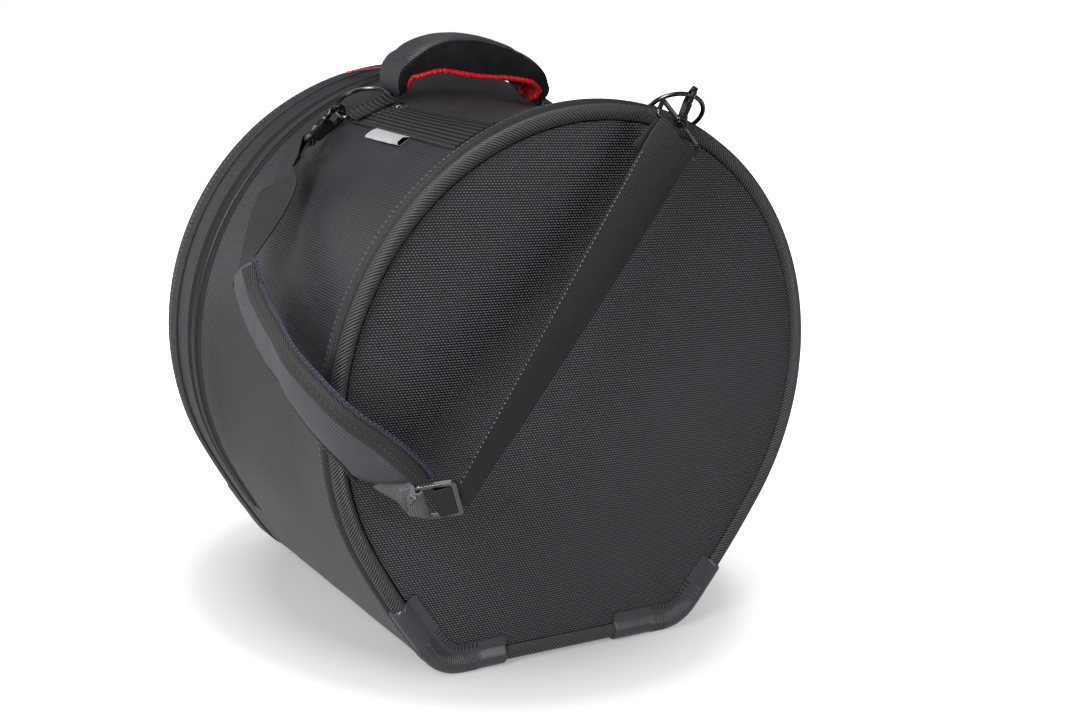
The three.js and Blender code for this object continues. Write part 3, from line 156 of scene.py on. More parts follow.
def sewn(name, rows, finish, body, nodes=None, ring=False, flat=None, second=None, sharp=50):
    rows = np.array([[tuple(p) for p in row] for row in rows], float)
    count, n = rows.shape[:2]
    mesh = bpy.data.meshes.new(name)
    faces, corners = [], []
    along = np.concatenate([[0], np.cumsum(np.linalg.norm(np.diff(rows, axis=0), axis=2).mean(1))])
    turned = np.concatenate([rows, rows[:, :1]], axis=1)
    around = np.concatenate([[0], np.cumsum(np.linalg.norm(np.diff(turned, axis=1), axis=2).mean(0))])
    last = along[-1] + np.linalg.norm(rows[-1] - rows[0], axis=1).mean()
    for k in range(count if ring else count - 1):
        m = (k + 1) % count
        u0, u1 = along[k], along[m] if m else last
        for i in range(n):
            j = (i + 1) % n
            faces.append((k * n + i, m * n + i, m * n + j, k * n + j))
            corners.append([(u0, around[i]), (u1, around[i]), (u1, around[i + 1]), (u0, around[i + 1])])
    if not ring:
        for k, order in ((0, range(n)), (count - 1, range(n - 1, -1, -1))):
            faces.append(tuple(k * n + i for i in order))
            corners.append([(along[k], around[i]) for i in order])
    points = rows.reshape(-1, 3)
    mesh.from_pydata((points / 1000).tolist(), [], faces)
    layer = mesh.uv_layers.new(name="cloth")
    if flat:
        pairs = [(points[i][flat[0]], points[i][flat[1]]) for face in faces for i in face]
    else:
        pairs = [pair for face in corners for pair in face]
    layer.data.foreach_set("uv", np.array(pairs).ravel() / 1000)
    mesh.materials.append(finish)
    if second:
        mesh.materials.append(second[0])
        for face in mesh.polygons[: (count if ring else count - 1) * n]:
            face.material_index = 1 if face.index % n in second[1] else 0
    tidy = bmesh.new()
    tidy.from_mesh(mesh)
    bmesh.ops.recalc_face_normals(tidy, faces=tidy.faces)
    tidy.to_mesh(mesh)
    tidy.free()
    mesh.shade_smooth()
    mesh.set_sharp_from_angle(angle=radians(sharp))
    piece = placed(name, mesh)
    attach(piece, body)
    nodes = [name] if nodes is None else nodes
    if nodes:
        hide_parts(*nodes)
    return piece


# Finishes are built from arithmetic on the cloth coordinates, so that every weave has its real pitch.
def sums(operation, *values, clamp=False):
    tree = next(value for value in values if hasattr(value, "id_data")).id_data
    node = tree.nodes.new("ShaderNodeMath")
    node.operation, node.use_clamp = operation, clamp
    for i, value in enumerate(values):
        if isinstance(value, (int, float)):
            node.inputs[i].default_value = value
        else:
            tree.links.new(value, node.inputs[i])
    return node.outputs[0]


def wave(value, pitch, phase=0.0):
    turns = sums("MULTIPLY_ADD", value, 2 * pi / pitch, phase)
    return sums("MULTIPLY_ADD", sums("SINE", turns), 0.5, 0.5)


def leaning(value, other, lean):
    return sums("ADD", value, sums("MULTIPLY", other, lean))


def crossed(along, across):
    """A plain weave with its two thread pitches."""
    return lambda u, v: sums("MULTIPLY", wave(u, along), wave(v, across))


def fill(node, values):
    for socket, value in values.items():
        node.inputs[socket].default_value = value


def clouds(tree, scale, detail=2.0):
    texture = tree.nodes.new("ShaderNodeTexNoise")
    fill(texture, {"Scale": scale, "Detail": detail})
    tree.links.new(tree.nodes["Texture Coordinate"].outputs["Object"], texture.inputs["Vector"])
    return texture.outputs["Fac"]


def blank(name):
    material = bpy.data.materials.new(name)
    material.use_nodes = True
    material.node_tree.nodes.new("ShaderNodeTexCoord")
    return material, material.node_tree


def tinted(tree, tone, dark, light, height, depth, strength, rough):
    """Colour from dark to light by the tone, and relief by the height."""
    shader = tree.nodes["Principled BSDF"]
    mix = tree.nodes.new("ShaderNodeMix")
    mix.data_type = "RGBA"
    fill(mix, {"A": (*dark, 1), "B": (*light, 1)})
    tree.links.new(tone, mix.inputs["Factor"])
    tree.links.new(mix.outputs["Result"], shader.inputs["Base Color"])
    relief = tree.nodes.new("ShaderNodeBump")
    fill(relief, {"Distance": depth, "Strength": strength})
    tree.links.new(height, relief.inputs["Height"])
    tree.links.new(relief.outputs["Normal"], shader.inputs["Normal"])
    shader.inputs["Roughness"].default_value = rough
    return shader


def cloth(name, dark, light, pattern, depth, rough, sheen, uneven, shine=0.35):
    material, tree = blank(name)
    split = tree.nodes.new("ShaderNodeSeparateXYZ")
    tree.links.new(tree.nodes["Texture Coordinate"].outputs["UV"], split.inputs[0])
    height = pattern(split.outputs[0], split.outputs[1])
    # Random cloudy tone. It is set higher on the shell cloth and the velour to stand in for their streaky
    # sheen, so there it is partly painted sheen.
    cloudy_tone = sums("MULTIPLY_ADD", clouds(tree, 14.0, 5.0), uneven, -uneven / 2)
    # Painted light: the pattern's height also sets the colour, so whatever stands raised (threads, ribs,
    # puckers) is painted lighter as a highlight and the hollows darker as shade.
    tone = sums("ADD", height, cloudy_tone, clamp=True)
    shader = tinted(tree, tone, dark, light, height, depth, 0.8, rough)
    fill(shader, {"Sheen Weight": sheen, "Sheen Roughness": 0.5, "Specular IOR Level": shine})
    return material


CANVAS = crossed(0.0019, 0.0016)
SHELL_CLOTH = cloth("shell polyester", (0.004, 0.004, 0.006), (0.1, 0.104, 0.125), CANVAS,
                    0.0006, 0.36, 0.0, 0.25, shine=0.6)
FOAM = cloth("foam sheet", (0.05, 0.05, 0.052), (0.09, 0.09, 0.093), CANVAS, 0.0001, 0.95, 0.0, 0.6)
LINING = cloth("plain lining", (0.012, 0.012, 0.014), (0.04, 0.04, 0.044), CANVAS, 0.0001, 0.6, 0.0, 0.2)
WALL_LAYERS = {
    "cover": (COVER_INNER, COVER_OUTER, SHELL_CLOTH, "shell_cloth"),
    "foam": (FOAM_INNER, FOAM_OUTER, FOAM, "foam"),
    "lining": (LINING_INNER, LINING_OUTER, LINING, "lining"),
}


def between(ys, stops, inner, outer):
    """A flat layer of the wall, from an inner to an outer height."""
    return [[wall(s, y, outer) for y in ys] + [wall(s, y, inner) for y in reversed(ys)] for s in stops]


def wall_layer(owner, layer, body, front, rear, steps):
    inner, outer, finish, slot = WALL_LAYERS[layer]
    rows = between(evenly(front, rear, steps), seam_stops(-HALF_SEAM, HALF_SEAM)[:-1], inner, outer)
    sewn(f"{owner}_{layer}", rows, finish, body, ring=True)


wall_layer("shell", "cover", "bag", -PANEL_INNER_Y, ZIP_FRONT_Y - GAP, 36)
wall_layer("shell", "foam", "bag", -PANEL_INNER_Y, FOAM_REAR_Y, 24)
wall_layer("shell", "lining", "bag", -LINING_FRONT_Y, FOAM_REAR_Y, 24)
wall_layer("lid_band", "cover", "lid", ZIP_REAR_Y + GAP, PANEL_INNER_Y, 6)
wall_layer("lid_band", "foam", "lid", LID_FOAM_FRONT_Y, PANEL_INNER_Y, 6)
wall_layer("lid_band", "lining", "lid", LID_FOAM_FRONT_Y, LINING_FRONT_Y, 6)


# The round panels: a heavy basket weave outside, its raised threads painted bright as highlights and its
# gaps near-black as shade, a foam plate, and the plain lining inside. The cover is sewn in tight, so it
# stands a little proud in its middle.
THREAD_PITCH, THREAD_ROW = 0.0026, 0.0019
PANEL_FOAM, PANEL_RISE = 8.0, 3.0
PANEL_ENDS = (("front", -1, "bag"), ("rear", 1, "lid"))


def staggered(u, v, pitch, height):
    """Where a place lies in its cell, with every second row moved by half a cell."""
    row = sums("DIVIDE", v, height)
    shift = sums("MULTIPLY", sums("FLOOR", row), 0.5)
    column = sums("ADD", sums("DIVIDE", u, pitch), shift)
    return [sums("SUBTRACT", sums("FRACT", value), 0.5) for value in (column, row)]


def basket(u, v):
    across, up = staggered(u, v, THREAD_PITCH, THREAD_ROW)
    wide = sums("POWER", sums("MULTIPLY", across, 2.3), 2)
    tall = sums("POWER", sums("MULTIPLY", up, 2.9), 2)
    return sums("SUBTRACT", 1.0, sums("ADD", wide, tall), clamp=True)


# The light colour of the threads is largely a painted highlight, and the near-black gaps are painted shade.
PANEL_CLOTH = cloth("basket weave", (0.002, 0.002, 0.003), (0.225, 0.235, 0.275), basket,
                    0.0009, 0.36, 0.0, 0.06, shine=0.5)


def panel(name, end, outer_y, inner_y, edge, rise, finish, body):
    rim = [wall(s, -HALF_DEPTH, edge) for s in seam_stops(-HALF_SEAM, HALF_SEAM)[:-1]]
    middle = Vector((0, -HALF_DEPTH, CENTRE_Z))

    def ring(share, y, bulge):
        row = []
        for p in rim:
            q = middle.lerp(p, share)
            uneven = 1 + 0.5 * noise.noise(Vector((q.x / 130, q.z / 110, 7.3 + end)))
            row.append(Vector((q.x, end * (y + bulge * (1 - share ** 4) * uneven), q.z)))
        return row

    rows = [ring(0.02, inner_y, 0), ring(0.6, inner_y, 0), ring(1, inner_y, 0), ring(1, outer_y, 0)]
    shares = [0.995, 0.98, 0.95, 0.9, 0.82, 0.72, 0.6, 0.48, 0.36, 0.24, 0.12, 0.02]
    rows += [ring(share, outer_y, rise) for share in shares]
    sewn(name, rows, finish, body, flat=(0, 2))


for side, end, body in PANEL_ENDS:
    cover_y, foam_y, lining_y = HALF_DEPTH - CLOTH, HALF_DEPTH - CLOTH - GAP, GAP - PANEL_INNER_Y
    panel(f"{side}_cover", end, HALF_DEPTH, cover_y, -GAP, PANEL_RISE, PANEL_CLOTH, body)
    panel(f"{side}_foam", end, foam_y, foam_y - PANEL_FOAM, -GAP, 0.0, FOAM, body)
    panel(f"{side}_lining", -end, lining_y, lining_y + CLOTH, LINING_OUTER, 0.0, LINING, body)


# Piping: a round cord in folded diagonal twill, sewn into the seam of each panel, and beside it the
# narrow herringbone tape that covers the seam on the wall.
PIPE_RADIUS, PIPE_RISE, PIPE_INSET = 5.75, 6.2, 1.5
TAPE_REACH = {"front": 13.5, "rear": 23.8}


def twill(u, v):
    return wave(leaning(u, v, 0.9), 0.0027)


def herringbone(u, v):
    folded = sums("SUBTRACT", sums("FRACT", sums("DIVIDE", v, 0.0048)), 0.5)
    slant = leaning(u, sums("ABSOLUTE", folded), 0.006)
    weave = sums("MULTIPLY", wave(slant, 0.0019), 0.4)
    beside = sums("ABSOLUTE", sums("SUBTRACT", v, 0.0092))
    row = sums("MULTIPLY_ADD", beside, -900.0, 1.6, clamp=True)
    return sums("MAXIMUM", weave, sums("MULTIPLY", row, wave(u, 0.0042)))


PIPE_TWILL = cloth("piping twill", (0.003, 0.003, 0.004), (0.125, 0.127, 0.14), twill,
                   0.0011, 0.45, 0.02, 0.12, shine=0.5)
SEAM_TAPE = cloth("herringbone tape", (0.004, 0.004, 0.005), (0.14, 0.14, 0.15), herringbone,
                  0.0008, 0.45, 0.02, 0.1)


def by_seam(s, end, inward, out):
    """A place by a panel's seam: inward from the panel's face and out from the seam line."""
    return wall(s, -HALF_DEPTH, out) + Vector((0, HALF_DEPTH + end * (HALF_DEPTH - inward), 0))


for side, end, body in PANEL_ENDS:
    stops = seam_stops(-HALF_SEAM, HALF_SEAM, 5.0, 1.5)[:-1]
    cord = [(PIPE_INSET + PIPE_RADIUS * sin(a), PIPE_RISE + PIPE_RADIUS * cos(a)) for a in circle(18)]
    rows = [[by_seam(s, end, a, b) for a, b in cord] for s in stops]
    sewn(f"{side}_piping", rows, PIPE_TWILL, body, ring=True)
    reach = TAPE_REACH[side]
    tape = [(4.2, 10.2), (5.4, 12.6), (7.0, 13.9), (9.0, 14.3), (reach - 0.6, 14.2), (reach, 13.7),
            (reach, 13.1), (9.6, 13.1), (6.0, 9.6)]
    rows = [[by_seam(s, end, a, b) for a, b in tape] for s in stops]
    sewn(f"{side}_seam_tape", rows, SEAM_TAPE, body, (), ring=True)


# Corner guards: one-piece mouldings in dark grey plastic, clipped over the piping at the lower corners.
# The bead is ribbed over the bend, and the free edge of the flat leg is slotted so that it bends.
GUARD_INNER, GUARD_OUTER, LEG_THICKNESS, LEG_WIDTH = 6.05, 8.0, 1.6, 7.2
LONG_ARM, SHORT_ARM, END_TAPER, TAPER_LENGTH = 51, 38, 1.2, 2.5
GUARD_HANDS = (("left", -1, LONG_ARM, SHORT_ARM), ("right", 1, SHORT_ARM, LONG_ARM))
SLOT_PITCH, SLOT_DEPTH, SLOTTED_REACH = 3.5, 4.6, 26
RIB_PITCH, RIB_HEIGHT, RIBBED_REACH, RIB_FADE = 1.75, 0.4, 27.3, 3
SLOT_STATIONS = [(0, 0), (0.44, 0), (0.87, 0), (1.28, 0), (1.31, 1), (1.75, 1), (2.19, 1), (2.22, 0),
                 (2.63, 0), (3.06, 0)]


def moulded(name, colour, rough, grain=0.00004):
    material, tree = blank(name)
    dark, light = [c * 0.7 for c in colour], [c * 1.35 for c in colour]
    tinted(tree, clouds(tree, 30.0), dark, light, clouds(tree, 900.0), grain, 1.0, rough)
    return material


GUARD_PLASTIC = moulded("guard plastic", (0.052, 0.054, 0.062), 0.22)


def round_cord(radius, angle):
    turn = radians(angle)
    return PIPE_INSET - radius * sin(turn), PIPE_RISE + radius * cos(turn)


def guard_profile(rib, notch):
    outer = [round_cord(GUARD_OUTER + (rib if angle > -15 else 0), angle)
             for angle in (-24, -10, 5, 20, 36, 52, 68, 84, 100)]
    top = PIPE_RISE - GUARD_OUTER
    edge = top - LEG_WIDTH + notch
    leg = [(-GAP - LEG_THICKNESS, top + 0.4), (-GAP - LEG_THICKNESS, edge + GAP), (-0.6, edge), (-GAP, edge),
           (-GAP, top + 0.3)]
    return outer + leg + [round_cord(GUARD_INNER, angle) for angle in (105, 80, 50, 15, -24)]


def guard_row(s, start, stop, turn, end, share, slot):
    off = abs(s - CORNER_MIDDLE)
    worked = min(1, max(0, (RIBBED_REACH - off) / RIB_FADE))
    rib = RIB_HEIGHT * worked * (0.5 + 0.5 * cos(2 * pi * share / RIB_PITCH))
    notch = SLOT_DEPTH * slot if off < SLOTTED_REACH else 0.0
    taper = END_TAPER * max(0, 1 - min(s - start, stop - s) / TAPER_LENGTH) ** 2
    return [by_seam(turn * s, end, a + (taper if a < -3 else 0), b - (taper if b > 8 else 0))
            for a, b in guard_profile(rib, notch)]


for side, end, body in PANEL_ENDS:
    for hand, turn, side_arm, base_arm in GUARD_HANDS:
        start, stop = SIDE_END - side_arm, CORNER_END + base_arm
        rows = []
        for i in range(int((stop - start) / SLOT_PITCH) + 1):
            for share, slot in SLOT_STATIONS:
                s = start + i * SLOT_PITCH + share
                if s <= stop:
                    rows.append(guard_row(s, start, stop, turn, end, share, slot))
        name = f"{side}_{hand}_corner_guard"
        sewn(name, rows, GUARD_PLASTIC, body, sharp=35)


# Zip: woven tapes sewn to the wall, and a nylon coil on each facing edge, over the top from side to side.
# Below the coil's ends a cloth strip on each half takes over as the hinge of the lid.
ZIP_END = ROUND_END + 0.5 * SIDE_LENGTH
TAPE_OUTER, TAPE_INNER = 12.85, 11.65
SEAM_LIFT, COIL_PITCH, HIGH_TURN, LOW_TURN = 0.35, 0.65, 1.35, 0.8


def tape_weave(u, v):
    return sums("MULTIPLY", wave(v, 0.0021), wave(u, 0.0012))


ZIP_TAPE = cloth("zip tape", (0.004, 0.004, 0.005), (0.036, 0.036, 0.04), tape_weave, 0.0006, 0.6, 0.0, 0.1)
COIL_NYLON = moulded("coil nylon", (0.012, 0.012, 0.013), 0.35)
body_edge_y, lid_edge_y = ZIP_MIDDLE_Y - GAP / 2, ZIP_MIDDLE_Y + GAP / 2
for name, edge, middle, body in (("body", ZIP_FRONT_Y, body_edge_y, "bag"),
                                 ("lid", ZIP_REAR_Y, lid_edge_y, "lid")):
    inward = 1 if middle > edge else -1
    ys = [edge, edge + inward * 3, edge + inward * 3.6, edge + inward * 9, middle]
    lifts = [SEAM_LIFT, SEAM_LIFT, 0, 0, 0]
    rows = [[wall(s, y, TAPE_OUTER + lift) for y, lift in zip(ys, lifts)]
            + [wall(s, y, TAPE_INNER) for y in reversed(ys)] for s in seam_stops(-ZIP_END, ZIP_END)]
    sewn(f"{name}_zip_tape", rows, ZIP_TAPE, body)
    rows, s = [], -ZIP_END + 1
    while s < ZIP_END - 1:
        high = HIGH_TURN if len(rows) % 2 else LOW_TURN
        bead = [(0.1, 0), (0.1, high), (1.2, high + 0.1), (2.6, high), (3.7, 0.5), (3.9, 0)]
        rows.append([wall(s, middle - inward * a, TAPE_OUTER + b) for a, b in bead])
        s += COIL_PITCH
    sewn(f"{name}_zip_coil", rows, COIL_NYLON, body, (), sharp=60)
for name, front, rear, body in (("hinge_strip", ZIP_FRONT_Y, body_edge_y, "bag"),
                                ("lid_hinge_strip", lid_edge_y, ZIP_REAR_Y, "lid")):
    stops = seam_stops(ZIP_END + GAP, 2 * HALF_SEAM - ZIP_END - GAP)
    sewn(name, between(evenly(front, rear, 4), stops, TAPE_INNER, TAPE_OUTER), SHELL_CLOTH, body)


# Bands: heavy ribbed webbing, 38 mm wide, sewn flat on the crown on either side of the handle. Rows of
# stitches run along both edges, and a boxed cross holds each band by its ring.
WEB_WIDTH, BAND_LIFT, BAND_THICKNESS = 38.0, 0.5, 1.4
BAND_TOP = COVER_OUTER + BAND_LIFT + BAND_THICKNESS
BANDS = {"left": (radians(-29), -136.2, 17.0), "right": (radians(21), -116.0, 75.9)}
BOX_START, BOX_END, BOX_HALF, EDGE_ROW = 2, 30, 0.8, 0.88


def ribbed(u, v):
    ribs = sums("POWER", wave(v, 0.0042, -1.2), 2)
    threads = wave(leaning(u, v, 0.3), 0.0031)
    return sums("MULTIPLY", ribs, sums("MULTIPLY_ADD", threads, 0.8, 0.2))


BAND_WEB = cloth("ribbed webbing", (0.006, 0.006, 0.007), (0.075, 0.075, 0.08), ribbed, 0.0007, 0.5, 0.0, 0.1)
THREAD = moulded("sewing thread", (0.07, 0.07, 0.074), 0.4)


def stitches(name, places, finish, body, length=2.4, gap=1.3, thick=0.35):
    """Short raised stitches along a row of (point, up) places."""
    points = [p for p, _ in places]
    run = np.concatenate([[0], np.cumsum([(b - a).length for a, b in zip(points, points[1:])])])

    def at(distance):
        k = min(int(np.searchsorted(run, distance, side="right")) - 1, len(points) - 2)
        share = (distance - run[k]) / (run[k + 1] - run[k])
        return points[k].lerp(points[k + 1], share), places[k][1].lerp(places[k + 1][1], share).normalized()

    mesh = bpy.data.meshes.new(name)
    corners, faces, distance = [], [], gap
    while distance + length < run[-1]:
        base = len(corners)
        for share, size in ((0, 0.35), (0.25, 1), (0.75, 1), (1, 0.35)):
            p, up = at(distance + share * length)
            ahead = (at(distance + length)[0] - at(distance)[0]).normalized()
            side = ahead.cross(up).normalized()
            for a, b in ((-1, -0.3), (-0.6, 0.8), (0.6, 0.8), (1, -0.3)):
                corners.append((p + side * (a * thick * size) + up * (b * thick * size)) / 1000)
        for k in range(3):
            for i in range(4):
                j = (i + 1) % 4
                faces.append((base + k * 4 + i, base + k * 4 + j, base + k * 4 + 4 + j, base + k * 4 + 4 + i))
        faces += [(base + 3, base + 2, base + 1, base), (base + 12, base + 13, base + 14, base + 15)]
        distance += length + gap
    mesh.from_pydata([tuple(c) for c in corners], [], faces)
    mesh.shade_smooth()
    mesh.materials.append(finish)
    piece = placed(name, mesh)
    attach(piece, body)


for hand, (angle, front, rear) in BANDS.items():
    middle = angle * ROUND_RADIUS
    half = WEB_WIDTH / 2 * ROUND_RADIUS / OUTER_RADIUS
    top = BAND_TOP + 0.25
    across = [(-1, 0), (-0.98, 0.9), (-0.94, 1.35)]
    across += [(-0.9 + 1.8 * i / 36, BAND_THICKNESS + 0.15 * sin(pi * i / 2.0)) for i in range(37)]
    across += [(0.94, 1.35), (0.98, 0.9), (1, 0), (0, 0)]
    rows = [[wall(middle + a * half, y, COVER_OUTER + BAND_LIFT + b) for a, b in across]
            for y in evenly(front, rear, 40)]
    sewn(f"{hand}_band", rows, BAND_WEB, "bag")
    for edge, place in ((-EDGE_ROW, "outer"), (EDGE_ROW, "inner")):
        s = middle + edge * half
        run = [(wall(s, y, top), wall_axes(s, y, top)[3]) for y in np.linspace(front + 1, rear - 1, 30)]
        stitches(f"{hand}_band_edge_stitch_{place}", run, THREAD, "bag")
    at_ring, inward = (rear, -1) if hand == "left" else (front, 1)
    tail, head = at_ring + inward * BOX_START, at_ring + inward * BOX_END
    corners = [(-1, tail), (1, tail), (1, head), (-1, head), (-1, tail), (1, head), (1, tail), (-1, head)]
    run = []
    for (a, y0), (b, y1) in zip(corners, corners[1:]):
        for share in (i / 6 for i in range(6)):
            s, y = middle + BOX_HALF * (a + (b - a) * share) * half, y0 + (y1 - y0) * share
            run.append((wall(s, y, top), wall_axes(s, y, top)[3]))
    stitches(f"{hand}_band_box_stitch", run, THREAD, "bag")


# Rings: D-rings bent from 3.8 mm wire, plated dark, each with its bar held in the folded end of a band.
# The wire is drawn a touch slimmer than the solid, so that the hooks clear it in every pose.
RING_WIRE, RING_SLIMMER, RING_HALF, RING_STRAIGHT, RING_DEPTH, RING_BEND = 3.8, 0.1, 21.9, 6.0, 28.0, 2.6
RINGS = {  # the bar's middle, the way along it and the way to the bow
    "left": ((-104.3237, 21.2098, 396.744), (0.9088, 0, 0.4173), (-0.1189, 0.9585, 0.259)),
    "right": ((76.3658, -119.4106, 407.4272), (0.947, 0, -0.3211), (0.2177, -0.7353, 0.6419)),
}


def plated(name, colour, rough):
    material = moulded(name, colour, rough, 0.00001)
    material.node_tree.nodes["Principled BSDF"].inputs["Metallic"].default_value = 1.0
    return material


GUNMETAL = plated("dark gunmetal", (0.13, 0.127, 0.123), 0.2)


def bent_wire(name, path, radius, finish, body, nodes=None, closed=True, sides=12):
    points = [Vector(p) for p in path]
    count = len(points)
    normal = None
    rows = []
    for k, p in enumerate(points):
        before = points[k - 1] if closed or k else p
        after = points[(k + 1) % count] if closed or k < count - 1 else p
        tangent = (after - before).normalized()
        if normal is None:
            normal = tangent.orthogonal().normalized()
        normal = (normal - tangent * normal.dot(tangent)).normalized()
        other = tangent.cross(normal)
        rows.append([p + radius * (cos(a) * normal + sin(a) * other) for a in circle(sides)])
    sewn(name, rows, finish, body, nodes, ring=closed, sharp=80)


for hand, ring in RINGS.items():
    bar, along, bow = map(Vector, ring)
    straight_half = RING_HALF - RING_BEND
    path = [bar + along * (RING_HALF * cos(a))
            + bow * (RING_STRAIGHT + (RING_DEPTH - RING_STRAIGHT) * sin(a)) for a in evenly(0, pi, 28)]
    bend = [(straight_half + RING_BEND * cos(pi / 2 * i / 8),
             RING_BEND - RING_BEND * sin(pi / 2 * i / 8)) for i in range(1, 9)]
    path += [bar - along * a + bow * b for a, b in bend]
    path += [bar + along * straight_half * share for share in (-0.6, -0.2, 0.2, 0.6)]
    path += [bar + along * a + bow * b for a, b in reversed(bend)]
    name = f"{hand}_ring"
    bent_wire(name, path, RING_WIRE / 2 - RING_SLIMMER, GUNMETAL, name)


# Ring loops: the end of each band, in the same ribbed webbing, folded round the bar of the ring and sewn
# back down on the band.
LOOP_THICKNESS, LOOP_PLAY = 1.3, 0.35


def squared(across, tangent):
    return (across - tangent * across.dot(tangent)).normalized()


def strip(name, places, thickness, finish, body):
    """A flat ribbon with rounded edges along (point, width direction) places."""
    half, thick = WEB_WIDTH / 2, thickness / 2
    shape = [(-half, -thick * 0.4), (-half, thick * 0.4), (-half + 0.5, thick), (-half + 3, thick * 0.93),
             (0, thick), (half - 3, thick * 0.93), (half - 0.5, thick), (half, thick * 0.4),
             (half, -thick * 0.4), (half - 0.5, -thick), (0, -thick), (-half + 0.5, -thick)]
    rows = []
    for k, (p, across) in enumerate(places):
        before, after = places[max(k - 1, 0)][0], places[min(k + 1, len(places) - 1)][0]
        tangent = (after - before).normalized()
        across = squared(across, tangent)
        up = tangent.cross(across)
        rows.append([p + across * a + up * b for a, b in shape])
    sewn(name, rows, finish, body)


for hand, sign in (("left", 1), ("right", -1)):
    bar, along = map(Vector, RINGS[hand][:2])
    angle, front, rear = BANDS[hand]
    _, _, across, up = wall_axes(angle * ROUND_RADIUS, rear if hand == "left" else front, COVER_OUTER)
    radius = RING_WIRE / 2 + LOOP_PLAY + 0.7
    forward = across * sign
    top = [bar - forward * d + up * h for d, h in ((15, -0.6), (11, -0.6), (6, 0.0), (2.5, 1.9))]
    fold = [bar + forward * (radius * sin(a)) + up * (radius * cos(a)) for a in evenly(0, pi, 9)]
    under = [bar - forward * d + up * h for d, h in ((2.5, -2.6), (5, -2.2))]
    places = [(p, along) for p in top + fold + under]
    strip(f"{hand}_ring_loop", places, LOOP_THICKNESS, BAND_WEB, "bag")


# Snap hooks, gates, slide and zip sliders are zinc castings, so their edges are rounded off: the packed
# solid is copied, its skin rebuilt in small even faces and relaxed a little, and plated dark.
def evaluated(piece):
    return bpy.data.meshes.new_from_object(piece.evaluated_get(bpy.context.evaluated_depsgraph_get()))


def casting(node, body, finish, voxel=0.42, rounds=6):
    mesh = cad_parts[node].data.copy()
    mesh.materials.clear()
    piece = placed(f"{node}_casting", mesh)
    weld = piece.modifiers.new("weld", "WELD")
    weld.merge_threshold = 0.00001
    even = piece.modifiers.new("even", "REMESH")
    even.mode, even.voxel_size, even.use_smooth_shade = "VOXEL", voxel / 1000, True
    relax = piece.modifiers.new("relax", "SMOOTH")
    relax.factor, relax.iterations = 0.5, rounds
    shaped = evaluated(piece)
    piece.modifiers.clear()
    piece.data = shaped
    shaped.materials.clear()
    shaped.materials.append(finish)
    shaped.shade_smooth()
    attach(piece, body)
    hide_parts(node)


SLIDE_METAL = plated("brushed gunmetal", (0.17, 0.167, 0.16), 0.25)
for hand in ("left", "right"):
    casting(f"{hand}_hook", f"{hand}_hook", GUNMETAL)
    casting(f"{hand}_hook_gate", f"{hand}_gate", GUNMETAL)
    casting(f"{hand}_swivel_loop", "strap", GUNMETAL)
    casting(f"{hand}_slider", f"{hand}_slider", GUNMETAL, 0.3, 3)
casting("slide_buckle", "strap", SLIDE_METAL, 0.4, 5)


# Rivets: domed caps in dark plated metal, one at the inner edge of each band, that pin the feet of the
# handle to the bands.
RIVET_OFFSET = 13.2
RIVET_DOME = ((4.8, -0.6), (4.8, 0.4), (4.5, 0.9), (3.9, 1.35), (2.9, 1.7), (1.6, 1.9), (0.4, 1.95))
for hand, inner, y in (("left", 1, -2.2), ("right", -1, 26.0)):
    angle = BANDS[hand][0] + inner * RIVET_OFFSET / OUTER_RADIUS
    centre, along, across, up = wall_axes(angle * ROUND_RADIUS, y, BAND_TOP + GAP)
    rows = [[centre + radius * (cos(a) * along + sin(a) * across) + up * height for a in circle(28)]
            for radius, height in RIVET_DOME]
    sewn(f"{hand}_handle_rivet", rows, GUNMETAL, "bag", sharp=60)


# Label: a folded white satin tape, caught under the edge of the left band. It is blank, and its fold
# stands a little open.
LABEL_SATIN = cloth("label satin", (0.42, 0.42, 0.45), (0.7, 0.7, 0.71), CANVAS, 0.00008, 0.4, 0.2, 0.15)
LABEL_FRONT_Y, LABEL_LENGTH, LABEL_STEPS, LABEL_REACH = -74, 51, 14, 17.84
rows = []
for i in range(LABEL_STEPS + 1):
    y = LABEL_FRONT_Y + LABEL_LENGTH * i / LABEL_STEPS
    open_up = 2.0 + 1.9 * (1 - i / LABEL_STEPS) ** 2 + 0.25 * sin(i * 1.3)
    outside = [(0.4, 0.35), (-4, 0.35), (-9, 0.4), (-10.3, 0.4 + open_up / 2), (-9, 0.5 + open_up),
               (-4, 0.6 + open_up), (0.4, 1.4)]
    inside = [(0.4, 1.1), (-4, 0.3 + open_up), (-9, 0.2 + open_up), (-9.9, 0.4 + open_up / 2), (-9, 0.7),
              (-4, 0.65), (0.4, 0.65)]
    edge_s = BANDS["left"][0] * ROUND_RADIUS - LABEL_REACH
    rows.append([wall(edge_s + a, y, COVER_OUTER + b) for a, b in outside + inside])
# Painted shade: the inner faces of the fold get the dark lining finish, standing in for the shade inside the
# open fold.
sewn("label_loop", rows, LABEL_SATIN, "bag", second=(LINING, set(range(7, 14))))


# Handle: a web core in a soft velour wrap, arched over the crown; twill on top, velour on the hanging
# flaps, and a red satin lining whose rolled, slightly puckered edge shows under the flaps.
HANDLE_MIDDLE_Y, HANDLE_HALF, HANDLE_RISE = 26.0, 23.0, 50.0
FOOT_HALF, FOOT_RADIUS, FOOT_LIFT, FOOT_DEPTH, FLAP_DEPTH = 18, 16.8, 2.0, 8, 19
LEFT_FOOT = Vector((-79.9356, HANDLE_MIDDLE_Y, 400.7619))
RIGHT_FOOT = Vector((53.7607, HANDLE_MIDDLE_Y, 400.0456))
ARCH = [(0, 0), (-0.045, 0.25), (-0.03, 0.5), (0.06, 0.72), (0.2, 0.92), (0.36, 1), (0.54, 0.97),
        (0.74, 0.83), (0.92, 0.58), (1.01, 0.28), (1, 0)]
HANDLE_STEPS = 56


